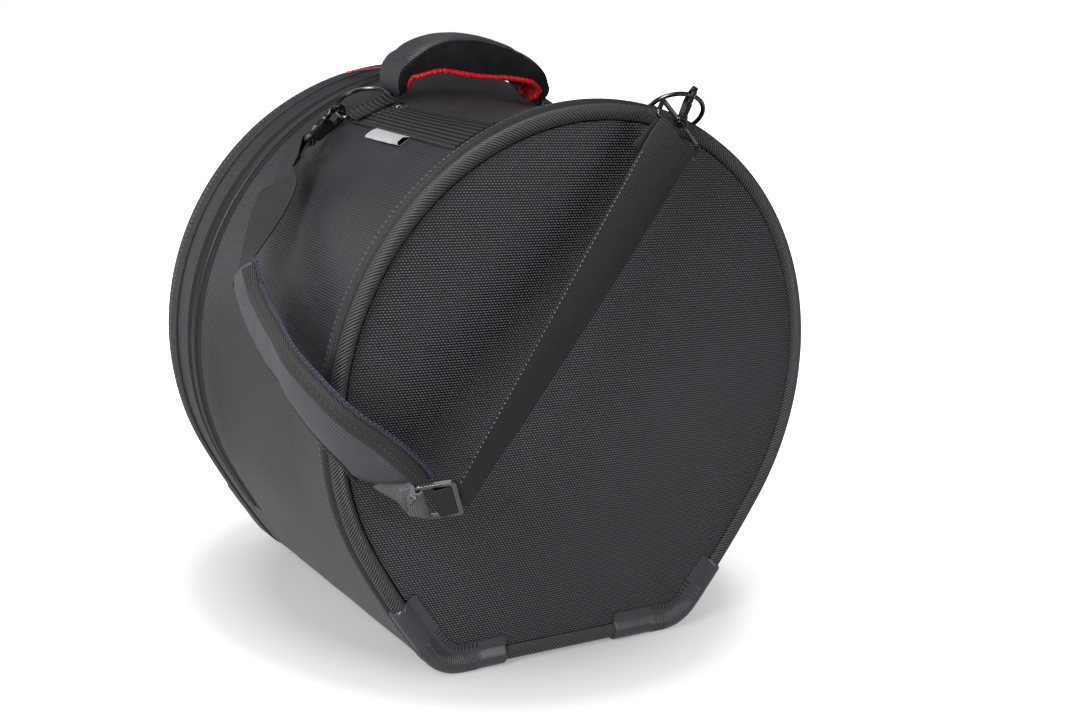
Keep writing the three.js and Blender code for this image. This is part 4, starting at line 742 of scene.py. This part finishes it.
def smooth_curve(points, count):
    """Even places on a smooth curve through the points, with their directions and the curve's length."""
    p = [np.array(q, float) for q in points]
    p = [2 * p[0] - p[1], *p, 2 * p[-1] - p[-2]]
    dense = []
    for k in range(1, len(p) - 2):
        a, b, c, d = p[k - 1: k + 3]
        t0, t1 = 0.0, np.linalg.norm((b - a)[:3]) ** 0.5
        t2 = t1 + np.linalg.norm((c - b)[:3]) ** 0.5
        t3 = t2 + np.linalg.norm((d - c)[:3]) ** 0.5
        for t in np.linspace(t1, t2, 24, endpoint=False):
            ab = a + (b - a) * (t - t0) / (t1 - t0)
            bc = b + (c - b) * (t - t1) / (t2 - t1)
            cd = c + (d - c) * (t - t2) / (t3 - t2)
            abc, bcd = ab + (bc - ab) * (t - t0) / (t2 - t0), bc + (cd - bc) * (t - t1) / (t3 - t1)
            dense.append(abc + (bcd - abc) * (t - t1) / (t2 - t1))
    dense = np.array([*dense, p[-2]])
    run = np.concatenate([[0], np.cumsum(np.linalg.norm(np.diff(dense[:, :3], axis=0), axis=1))])
    even = np.linspace(0, run[-1], count)
    places = np.array([np.interp(even, run, dense[:, i]) for i in range(dense.shape[1])]).T
    return places, np.gradient(places[:, :3], axis=0), run[-1]


arch = [(*(LEFT_FOOT.lerp(RIGHT_FOOT, a) + Vector((0, 0, FOOT_LIFT + u * HANDLE_RISE))),) for a, u in ARCH]
places, headings, arch_length = smooth_curve(arch, HANDLE_STEPS + 1)
handle_places = []
for k, (place, heading) in enumerate(zip(places, headings)):
    share = k / HANDLE_STEPS
    tangent = Vector(heading).normalized()
    inward = Vector((tangent.z, 0, -tangent.x)).normalized()
    to_foot = min(share, 1 - share) * arch_length
    depth = FOOT_DEPTH + FLAP_DEPTH * sin(pi * share) ** 2
    below = max(FOOT_HALF - FOOT_LIFT - to_foot, 0)
    widened = min(max(to_foot - FOOT_HALF, 0) / FOOT_HALF, 1)
    half = sqrt(FOOT_RADIUS ** 2 - below ** 2) + (HANDLE_HALF - FOOT_HALF) * widened
    handle_places.append((Vector(place), inward, depth, half))


# Painted sheen: the velour's colour follows these clouds, so its lighter mottle stands in for the sheen of
# the pile.
def velour(u, v):
    return clouds(u.id_data, 60.0, 6.0)


def puckers(u, v):
    return sums("MULTIPLY", wave(u, 0.0052), wave(sums("ADD", u, v), 0.0023))


VELOUR = cloth("velour", (0.0, 0.0, 0.0), (0.022, 0.022, 0.028), velour, 0.0009, 0.9, 0.06, 0.5, shine=0.1)
HANDLE_TWILL = cloth("handle twill", (0.003, 0.003, 0.004), (0.09, 0.092, 0.105), twill,
                     0.0009, 0.4, 0.0, 0.2, shine=0.5)
RED_SATIN = cloth("red satin", (0.55, 0.004, 0.008), (0.95, 0.025, 0.04), puckers,
                  0.0009, 0.3, 0.05, 0.4, shine=0.5)
WRAP = [(-1, 1), (-1.02, 0.7), (-1.02, 0.4), (-1, 0.16), (-0.93, 0.04), (-0.75, -0.01), (-0.4, -0.04),
        (0, -0.05), (0.4, -0.04), (0.75, -0.01), (0.93, 0.04), (1, 0.16), (1.02, 0.4), (1.02, 0.7), (1, 1)]


def wrap_row(place, inset, drop, longer=0.0):
    at, inward, depth, half = place
    return [at + Vector((0, side * (half - inset), 0)) + inward * (drop + down * (depth - drop + longer))
            for side, down in WRAP]


def plumped(piece, held, cap, slack):
    """The filling swells the cloth, simulated: sewn places hold, and no point moves beyond the cap."""
    group = piece.vertex_groups.new(name="sewn down")
    for i, firm in enumerate(held):
        group.add([i], firm, "REPLACE")
    made = np.array([v.co for v in piece.data.vertices])
    swell = piece.modifiers.new("swell", "CLOTH")
    setting = swell.settings
    setting.quality, setting.mass, setting.bending_stiffness = 5, 0.3, 0.4
    setting.use_pressure, setting.uniform_pressure_force = True, 4.0
    setting.vertex_group_mass, setting.shrink_min = "sewn down", -slack
    setting.effector_weights.gravity = 0
    swell.point_cache.frame_start, swell.point_cache.frame_end = 1, 20
    for number in range(1, 21):
        bpy.context.scene.frame_set(number)
    move = np.array([v.co for v in evaluated(piece).vertices]) - made
    far = np.linalg.norm(move, axis=1, keepdims=True)
    print(piece.name, "swells by up to", round(float(far.max()) * 1000, 2), "mm")
    move *= np.minimum(1, cap / 1000 / np.maximum(far, 1e-9))
    piece.modifiers.clear()
    piece.data.vertices.foreach_set("co", (made + move).ravel())
    finer = piece.modifiers.new("finer", "SUBSURF")
    finer.levels = 1
    smooth = evaluated(piece)
    piece.modifiers.clear()
    piece.vertex_groups.clear()
    piece.data = smooth
    bpy.context.scene.frame_set(1)


def held_down(rows, edges, first, last):
    """1 for each point of the inner skin, of the named edges and of the end rows, else 0."""
    return [1.0 if i in edges or i > max(edges) or k < first or k > last else 0.0
            for k, row in enumerate(rows) for i in range(len(row))]


rows = [wrap_row(p, 0.2, 0.2) + wrap_row(p, 2.4, 2.4)[::-1] for p in handle_places]
cover = sewn("handle_cover", rows, VELOUR, "handle",
             second=(HANDLE_TWILL, set(range(4, 10))))
plumped(cover, held_down(rows, (0, 3, 11, 14), 9, len(rows) - 6), 1.6, 0.03)
rows = [wrap_row(p, 3.0, 5.0, 0.8) + wrap_row(p, 4.0, 6.0, 0.8)[::-1] for p in handle_places]
sewn("handle_lining", rows, RED_SATIN, "handle")
for name, side in (("near", -1), ("far", 1)):
    path = []
    for k, (at, inward, depth, half) in enumerate(handle_places[1:-1]):
        pucker = 0.9 * noise.noise(Vector((k * 0.9, side * 5, 1)))
        path.append(at + Vector((0, side * (half - 1.9 + pucker), 0)) + inward * (depth + 1.5 + pucker))
    bent_wire(f"handle_red_roll_{name}", path, 2.3, RED_SATIN, "handle", (), closed=False,
              sides=10)
    ridge = [(at + Vector((0, side * half, 0)) + inward * 2.2, Vector((0, side, 0)) - inward * 0.5)
             for at, inward, depth, half in handle_places[2:-2]]
    stitches(f"handle_ridge_stitch_{name}", ridge, BAND_WEB, "handle", 2.0, 1.2, 0.4)
rows = []
for at, inward, depth, half in handle_places:
    wide = half - 3.6
    shape = [(-wide, 2.7), (0, 2.7), (wide, 2.7), (wide, 4.7), (0, 4.7), (-wide, 4.7)]
    rows.append([at + Vector((0, a, 0)) + inward * b for a, b in shape])
sewn("handle_webbing", rows, BAND_WEB, "handle")


# Zip pulls: a flat metal eye on the slider's bridge, a black cord moulded onto it, and a red trim along
# the cord with a red end.
PULL_CORD = moulded("pull cord rubber", (0.018, 0.018, 0.02), 0.45)
PULL_RED = moulded("pull red trim", (0.62, 0.02, 0.025), 0.4)
PULL_LENGTH, PULL_HALF, EYE_REACH, BRIDGE_HEIGHT = 44, 3.0, 9.4, 4.6
PULLS = {  # how far it is swung aside, its seat, the way along the zip and the way out
    "left": (45, (-33.4513, 90.2, 419.1852), (-0.9877, 0, -0.1564), (-0.1564, 0, 0.9877)),
    "right": (8, (-12.6372, 90.2, 421.0123), (0.9982, 0, 0.0593), (-0.0593, 0, 0.9982)),
}
PULL_EYE = [(-1.2, -2.4), (-0.4, -3), (7.5, -3), (11, -2.2), (11, 2.2), (7.5, 3), (-0.4, 3), (-1.2, 2.4)]
PULL_HOLE = [(1.2, -1.3), (1.4, -1.6), (7, -1.6), (7.4, -1.2), (7.4, 1.2), (7, 1.6), (1.4, 1.6), (1.2, 1.3)]
TRIM = ((-0.6, 0.7), (-0.3, 1.25), (1.6, 1.2), (2.7, 0.5), (2.6, 0.1), (0, 0.1))
RED_END = ((0.88, 2.6, 0.95), (0.9, 3.1, 1.15), (0.97, 3.2, 1.2), (1.0, 2.7, 1.0), (1.015, 1.4, 0.5))
for hand, (swung, *seating) in PULLS.items():
    seat, along, out = map(Vector, seating)
    across = Vector((0, 1, 0))
    origin = seat + out * BRIDGE_HEIGHT
    turn = radians(swung)
    rows = [[origin + along * a + across * b + out * height for a, b in outline]
            for outline, height in ((PULL_HOLE, 0.8), (PULL_EYE, 0.8), (PULL_EYE, -0.8), (PULL_HOLE, -0.8))]
    sewn(f"{hand}_pull_eye", rows, GUNMETAL, f"{hand}_pull", (), ring=True, sharp=30)

    def pull_point(share, sideways, height):
        reach = EYE_REACH + share * PULL_LENGTH * cos(turn)
        beside = share * PULL_LENGTH * sin(turn) + sideways * cos(turn)
        return (origin + along * (reach - sideways * sin(turn)) + across * beside
                + out * (height - reach * reach / (2 * OUTER_RADIUS)))

    rows = []
    for share in evenly(0, 1, 22):
        waist = 1 - 0.25 * sin(pi * min(share / 0.25, 1)) * (share < 0.25)
        wide = PULL_HALF * waist * (1 - 0.35 * max(0, (share - 0.92) / 0.08))
        rows.append([pull_point(share, wide * cos(a) * 0.98, 0.9 * sin(a)) for a in circle(14)])
    sewn(f"{hand}_pull", rows, PULL_CORD, f"{hand}_pull")
    rows = [[pull_point(0.12 + 0.8 * k / 16, a, b) for a, b in TRIM] for k in range(17)]
    sewn(f"{hand}_pull_red_trim", rows, PULL_RED, f"{hand}_pull", ())
    rows = [[pull_point(share, wide * cos(a), tall * sin(a)) for a in circle(12)]
            for share, wide, tall in RED_END]
    sewn(f"{hand}_pull_red_end", rows, PULL_RED, f"{hand}_pull", ())


# Shoulder pad: foam in a smooth light-grey knit, bound along both long edges and stitched beside the
# binding, with an open mesh on the side that lies on the shoulder.
PAD_LINE = [
    (-230, -44, 289, -0.18, -0.91, 0.37), (-226, -58, 264, -0.26, -0.67, 0.69),
    (-227, -83, 251, -0.29, -0.3, 0.91), (-230, -114, 243, -0.34, -0.29, 0.9),
    (-233, -147, 232, -0.34, -0.54, 0.77), (-222, -175, 213, -0.16, -0.79, 0.6),
    (-198, -185, 191, -0.05, -0.8, 0.6), (-178, -181, 171, -0.25, -0.7, 0.67),
]
PAD_HALF, PAD_EDGE, PAD_MIDDLE, PAD_COUNT = 30.0, 3.0, 9.0, 61
MESH_UPPER, MESH_LOWER, END_STITCH_HALF = 34.5, 29, 20
spots, headings, _ = smooth_curve(PAD_LINE, PAD_COUNT)
pad_places = []
for spot, heading in zip(spots, headings):
    tangent = Vector(heading).normalized()
    width = squared(Vector(spot[3:]), tangent)
    pad_places.append((Vector(spot[:3]), width, tangent.cross(width), tangent))


def open_mesh(u, v):
    across, up = staggered(u, v, 0.0024, 0.0021)
    away = sums("ADD", sums("POWER", across, 2), sums("POWER", up, 2))
    return sums("MULTIPLY", away, 6.0, clamp=True)


def plain_binding(u, v):
    return wave(leaning(v, u, 0.35), 0.0017)


PAD_KNIT = cloth("pad knit", (0.055, 0.056, 0.066), (0.17, 0.173, 0.2), crossed(0.0016, 0.0018),
                 0.0003, 0.5, 0.03, 0.15)
PAD_MESH = cloth("pad mesh", (0.008, 0.008, 0.012), (0.07, 0.075, 0.115), open_mesh, 0.0005, 0.7, 0.02, 0.1)
BINDING = cloth("binding tape", (0.012, 0.012, 0.012), (0.065, 0.064, 0.062), plain_binding,
                0.0003, 0.6, 0.0, 0.15)


def pad_crown(v):
    return PAD_EDGE + (PAD_MIDDLE - PAD_EDGE) * (1 - v * v) ** 0.8


def pad_row(k):
    at, width, out, _ = pad_places[k]
    share = k / (PAD_COUNT - 1)
    slim = min(1, 0.55 + 0.45 * min(share, 1 - share) / 0.05)
    row = []
    for v in evenly(-1, 1, 16):
        crown = pad_crown(v) * (1 if abs(v) < 0.999 else 0.6) * slim
        crease = 0.9 * exp(-((abs(v) - 0.86) / 0.04) ** 2)
        row.append(at + width * (v * PAD_HALF) + out * (crown - crease * slim))
    return row + [at + width * (v * PAD_HALF) + out * 0.1 for v in (0.98, 0.5, 0, -0.5, -0.98)]


rows = [pad_row(k) for k in range(PAD_COUNT)]
pad = sewn("shoulder_pad", rows, PAD_KNIT, "strap")
plumped(pad, held_down(rows, (0, 1, 2, 14, 15, 16), 1, PAD_COUNT - 2), 1.5, 0.006)
backing = [(-1, -0.3), (-0.5, -0.3), (0, -0.3), (0.5, -0.3), (1, -0.3), (1.0, -1.8), (0.9, -2.8), (0.5, -3.2),
           (0, -3.3), (-0.5, -3.2), (-0.9, -2.8), (-1.0, -1.8)]
rows = [[at + width * (v * (MESH_UPPER if v > 0 else MESH_LOWER)) + out * h for v, h in backing]
        for at, width, out, _ in pad_places]
sewn("shoulder_pad_backing", rows, PAD_MESH, "strap")
narrow = [(-4.2, 2.9), (-4, 5.4), (-2.6, 5.3), (-0.6, 4.4), (0.7, 2.4)]
wide = [(-9.6, 6.0), (-9.3, 7.5), (-6, 6.8), (-3, 5.6), (-0.8, 4.6), (0.9, 2.6)]
under = [(1.3, 0.3), (0.9, -1.6), (-0.4, -2.7), (-3.2, -2.9), (-3.2, 0)]
for name, side, over, away, high in (("lower", -1, narrow, 27.4, 5.7), ("upper", 1, wide, 27.6, 5.9)):
    rows = [[at + width * side * (PAD_HALF - 0.6 + a) + out * b for a, b in over + under]
            for at, width, out, _ in pad_places[1:-1]]
    sewn(f"shoulder_pad_binding_{name}", rows, BINDING, "strap", ())
    run = [(at + width * side * away + out * high, out) for at, width, out, _ in pad_places[1:-1]]
    stitches(f"shoulder_pad_stitch_{name}", run, THREAD, "strap", 2.6, 1.5, 0.35)
for name, away in (("inner", 31.4), ("outer", 33.4)):
    run = [(at + width * away - out * 0.3, out) for at, width, out, _ in pad_places[1:-1]]
    stitches(f"shoulder_pad_mesh_stitch_{name}", run, THREAD, "strap", 1.2, 1.4, 0.4)
at, width, out, _ = pad_places[-5]
reaches = [END_STITCH_HALF * (i / 6 - 1) for i in range(13)]
run = [(at + width * reach + out * (pad_crown(reach / PAD_HALF) + 0.2), out) for reach in reaches]
stitches("shoulder_pad_end_stitch", run, THREAD, "strap", 2.4, 1.2, 0.4)


# Webbings of the strap, 38 mm wide: the dark rear run from the left swivel loop into the top of the pad,
# the light-grey end from the pad's pocket to the slide, and the long dark front run from the slide's bar
# up to the right swivel loop. Each end at a metal bar is folded round it and sewn to itself.
def plain_web(u, v):
    warp = wave(v, 0.0019)
    return sums("MULTIPLY_ADD", wave(u, 0.0014), 0.5, sums("MULTIPLY", warp, 0.5))


STRAP_WEB = cloth("dark webbing", (0.004, 0.004, 0.005), (0.05, 0.051, 0.055), plain_web,
                  0.0005, 0.5, 0.0, 0.15)
GREY_WEB = cloth("light grey webbing", (0.06, 0.061, 0.065), (0.3, 0.305, 0.32), plain_web,
                 0.0004, 0.7, 0.0, 0.3)
BRIGHT_THREAD = moulded("bright thread", (0.35, 0.34, 0.32), 0.5)
LEFT_FOLD, LEFT_ACROSS = Vector((-172.6111, 3.5439, 363.5247)), Vector((0.0824, -0.7768, 0.6243))
RIGHT_FOLD, RIGHT_ACROSS = Vector((38.306, -177.0645, 400.5211)), Vector((0.6543, -0.2047, -0.728))
SLIDE_MIDDLE = Vector((-153, -201, 159))
SLIDE_ALONG, SLIDE_WIDTH = Vector((0.8305, -0.5139, 0.2149)), Vector((0.4955, 0.5055, -0.7063))
SLIDE_OUT = SLIDE_WIDTH.cross(SLIDE_ALONG).normalized()
WEB_THICKNESS, LOOP_BEND, RAIL_BEND, REAR_TWIST, FRONT_DROOP = 1.5, 3.1, 2.9, -28, 3.0
REAR_TAIL, GREY_TAIL, BAR_TAIL, FRONT_TAIL = 15, 12, 10, 30
LEAVE, INTO_PAD = 12, 3


def folded_end(bar, direction, across, radius, tail):
    """Places from the sewn-back tail round a bar to the point where the run leaves, run direction given."""
    direction = squared(direction, across)
    up = across.cross(direction).normalized()
    back = [(bar + direction * tail + up * 1.7, across), (bar + direction * tail * 0.6 + up * 1.9, across)]
    turn = [(bar - direction * (radius * sin(a)) + up * (radius * cos(a)), across)
            for a in evenly(0, pi, 8)]
    return back + turn, up


pad_top, pad_width, pad_out, pad_tangent = pad_places[0]
top_end = pad_top + pad_out * 1.5 + pad_tangent * INTO_PAD
fold, up = folded_end(LEFT_FOLD, top_end - LEFT_FOLD, LEFT_ACROSS, LOOP_BEND, REAR_TAIL)
leave = LEFT_FOLD - up * 1.2 + (top_end - LEFT_FOLD).normalized() * LEAVE
along_run = (top_end - leave).normalized()
run = []
for share in evenly(0, 1, 18):
    angle = radians(REAR_TWIST * sin(pi * max(0, (share - 0.12) / 0.88) ** 0.5))
    twist = Matrix.Rotation(angle, 3, along_run)
    run.append((leave.lerp(top_end, share), twist @ LEFT_ACROSS.lerp(pad_width, share)))
strip("strap_rear_webbing", fold + run, WEB_THICKNESS, STRAP_WEB, "strap")
for k, share in enumerate((0.1, 0.2)):
    line = [(leave.lerp(top_end, share) + LEFT_ACROSS * (36 * (t / 8 - 0.5)) + up * 1.2, up)
            for t in range(9)]
    stitches(f"strap_rear_cross_stitch_{k + 1}", line, THREAD, "strap")

near_rail = SLIDE_MIDDLE - SLIDE_ALONG * 12
pad_end, end_width, end_out, end_tangent = pad_places[-1]
end_point = pad_end + end_out * 1.5 - end_tangent * INTO_PAD
fold, up = folded_end(near_rail, -SLIDE_ALONG, SLIDE_WIDTH, RAIL_BEND, GREY_TAIL)
leave = near_rail - SLIDE_ALONG * 8 - up * 0.4
run = [(leave.lerp(end_point, i / 6), SLIDE_WIDTH.lerp(-end_width, i / 6)) for i in range(7)]
strip("pad_end_webbing", fold + run, WEB_THICKNESS, GREY_WEB, "strap")

far_rail = SLIDE_MIDDLE + SLIDE_ALONG * 17 - SLIDE_OUT * 2.6
fold, up = folded_end(SLIDE_MIDDLE, SLIDE_ALONG, SLIDE_WIDTH, RAIL_BEND, BAR_TAIL)
right_end, right_up = folded_end(RIGHT_FOLD, far_rail - RIGHT_FOLD, RIGHT_ACROSS, LOOP_BEND, FRONT_TAIL)
goal = RIGHT_FOLD - right_up * 1.2 + (far_rail - RIGHT_FOLD).normalized() * LEAVE
run = []
for share in evenly(0, 1, 24):
    p = far_rail.lerp(goal, share)
    p.z -= FRONT_DROOP * sin(pi * share)
    run.append((p, SLIDE_WIDTH.lerp(RIGHT_ACROSS, share)))
strip("strap_front_webbing", fold + run + right_end[::-1], WEB_THICKNESS, STRAP_WEB, "strap")
edge = []
for (p, across), (ahead, _) in zip(run, run[1:]):
    tangent = (ahead - p).normalized()
    across = squared(across, tangent)
    up = tangent.cross(across)
    up = up if up.y < 0 else -up
    edge.append((p - across * 17.9 + up * 0.95, up))
stitches("strap_front_edge_stitch", edge, BRIGHT_THREAD, "strap", 1.6, 2.2, 0.3)


# The studio: a pale floor under the bag, soft light from above, both sides and the rear, and the camera
# where the picture was taken from, a little above the crown and to the left of the front.
FLOOR_HALF, FLOOR_TONE = 6, 0.38
low = cad_box[0].z
floor_mesh = bpy.data.meshes.new("floor")
corners = [(x * FLOOR_HALF, y * FLOOR_HALF, low) for x, y in ((-1, -1), (1, -1), (1, 1), (-1, 1))]
floor_mesh.from_pydata(corners, [], [(0, 1, 2, 3)])
floor = placed("floor", floor_mesh)
paper, tree = blank("white paper")
shader = tree.nodes["Principled BSDF"]
fill(shader, {"Base Color": (FLOOR_TONE, FLOOR_TONE, FLOOR_TONE, 1), "Roughness": 0.9})
seen = tree.nodes.new("ShaderNodeLightPath")
glow = tree.nodes.new("ShaderNodeEmission")
apart = tree.nodes.new("ShaderNodeSeparateXYZ")
tree.links.new(tree.nodes["Texture Coordinate"].outputs["Object"], apart.inputs[0])
square_x, square_y = (sums("POWER", apart.outputs[i], 2) for i in (0, 1))
away = sums("SQRT", sums("ADD", square_x, square_y))
# Painted shadow: the floor's glow for the camera is weakest within about 16 cm of the middle and rises out to
# 25 cm, which paints a soft contact shadow round the bag's base. Further out it rises again until the floor
# reads pure white.
beyond = sums("MULTIPLY_ADD", away, 5.0, -1.1, clamp=True)
beside = sums("MULTIPLY_ADD", away, 11.0, -1.75, clamp=True)
mirrored = sums("MULTIPLY", seen.outputs["Is Glossy Ray"], 0.25)
bright = sums("ADD", beyond, sums("MULTIPLY_ADD", beside, 0.38, 0.3))
strength = sums("MULTIPLY_ADD", seen.outputs["Is Camera Ray"], bright, mirrored)
tree.links.new(strength, glow.inputs["Strength"])
both = tree.nodes.new("ShaderNodeAddShader")
tree.links.new(shader.outputs[0], both.inputs[0])
tree.links.new(glow.outputs[0], both.inputs[1])
tree.links.new(both.outputs[0], tree.nodes["Material Output"].inputs["Surface"])
floor_mesh.materials.append(paper)

world = bpy.data.worlds.new("studio")
world.use_nodes = True
bpy.context.scene.world = world
tree = world.node_tree
seen = tree.nodes.new("ShaderNodeLightPath")
strength = sums("MULTIPLY_ADD", seen.outputs["Is Camera Ray"], 0.87, 0.13)
tree.nodes["Background"].inputs["Color"].default_value = (1, 1, 1, 1)
tree.links.new(strength, tree.nodes["Background"].inputs["Strength"])


def soft_light(name, place, aim, size, power):
    lamp = bpy.data.lights.new(name, "AREA")
    lamp.shape, lamp.size, lamp.size_y, lamp.energy = "RECTANGLE", size[0], size[1], power
    holder = placed(name, lamp)
    holder.location = place
    holder.rotation_euler = (Vector(aim) - Vector(place)).to_track_quat("-Z", "Y").to_euler()


soft_light("top_softbox", (-0.6, 0.2, 2.0), (0, 0, 0.2), (1.2, 1.2), 10)
soft_light("left_softbox", (-1.8, -0.9, 1.2), (0, 0, 0.25), (0.8, 1.4), 42)
soft_light("front_softbox", (0.9, -2.2, 1.1), (0, 0, 0.2), (1.2, 1.2), 12)
soft_light("rear_softbox", (-1.5, 1.9, 0.7), (-0.1, 0, 0.25), (1.6, 1.6), 9)

CAMERA_PLACE, SENSOR_WIDTH, PICTURE_WIDTH, FOCAL_PIXELS = (-0.6618, -1.0435, 0.5083), 36, 1080, 1547.45
FORWARD, RIGHT = Vector((0.55089, 0.79807, -0.24415)), Vector((0.83131, -0.55059, 0.07596))
UP = Vector((0.0738, 0.24481, 0.96676))
camera = placed("camera", bpy.data.cameras.new("camera"))
camera.matrix_world = Matrix.Translation(CAMERA_PLACE) @ Matrix((RIGHT, UP, -FORWARD)).transposed().to_4x4()
camera.data.sensor_width = SENSOR_WIDTH
camera.data.lens = FOCAL_PIXELS * SENSOR_WIDTH / PICTURE_WIDTH
bpy.context.scene.camera = camera
bpy.context.scene.view_settings.view_transform = "Standard"
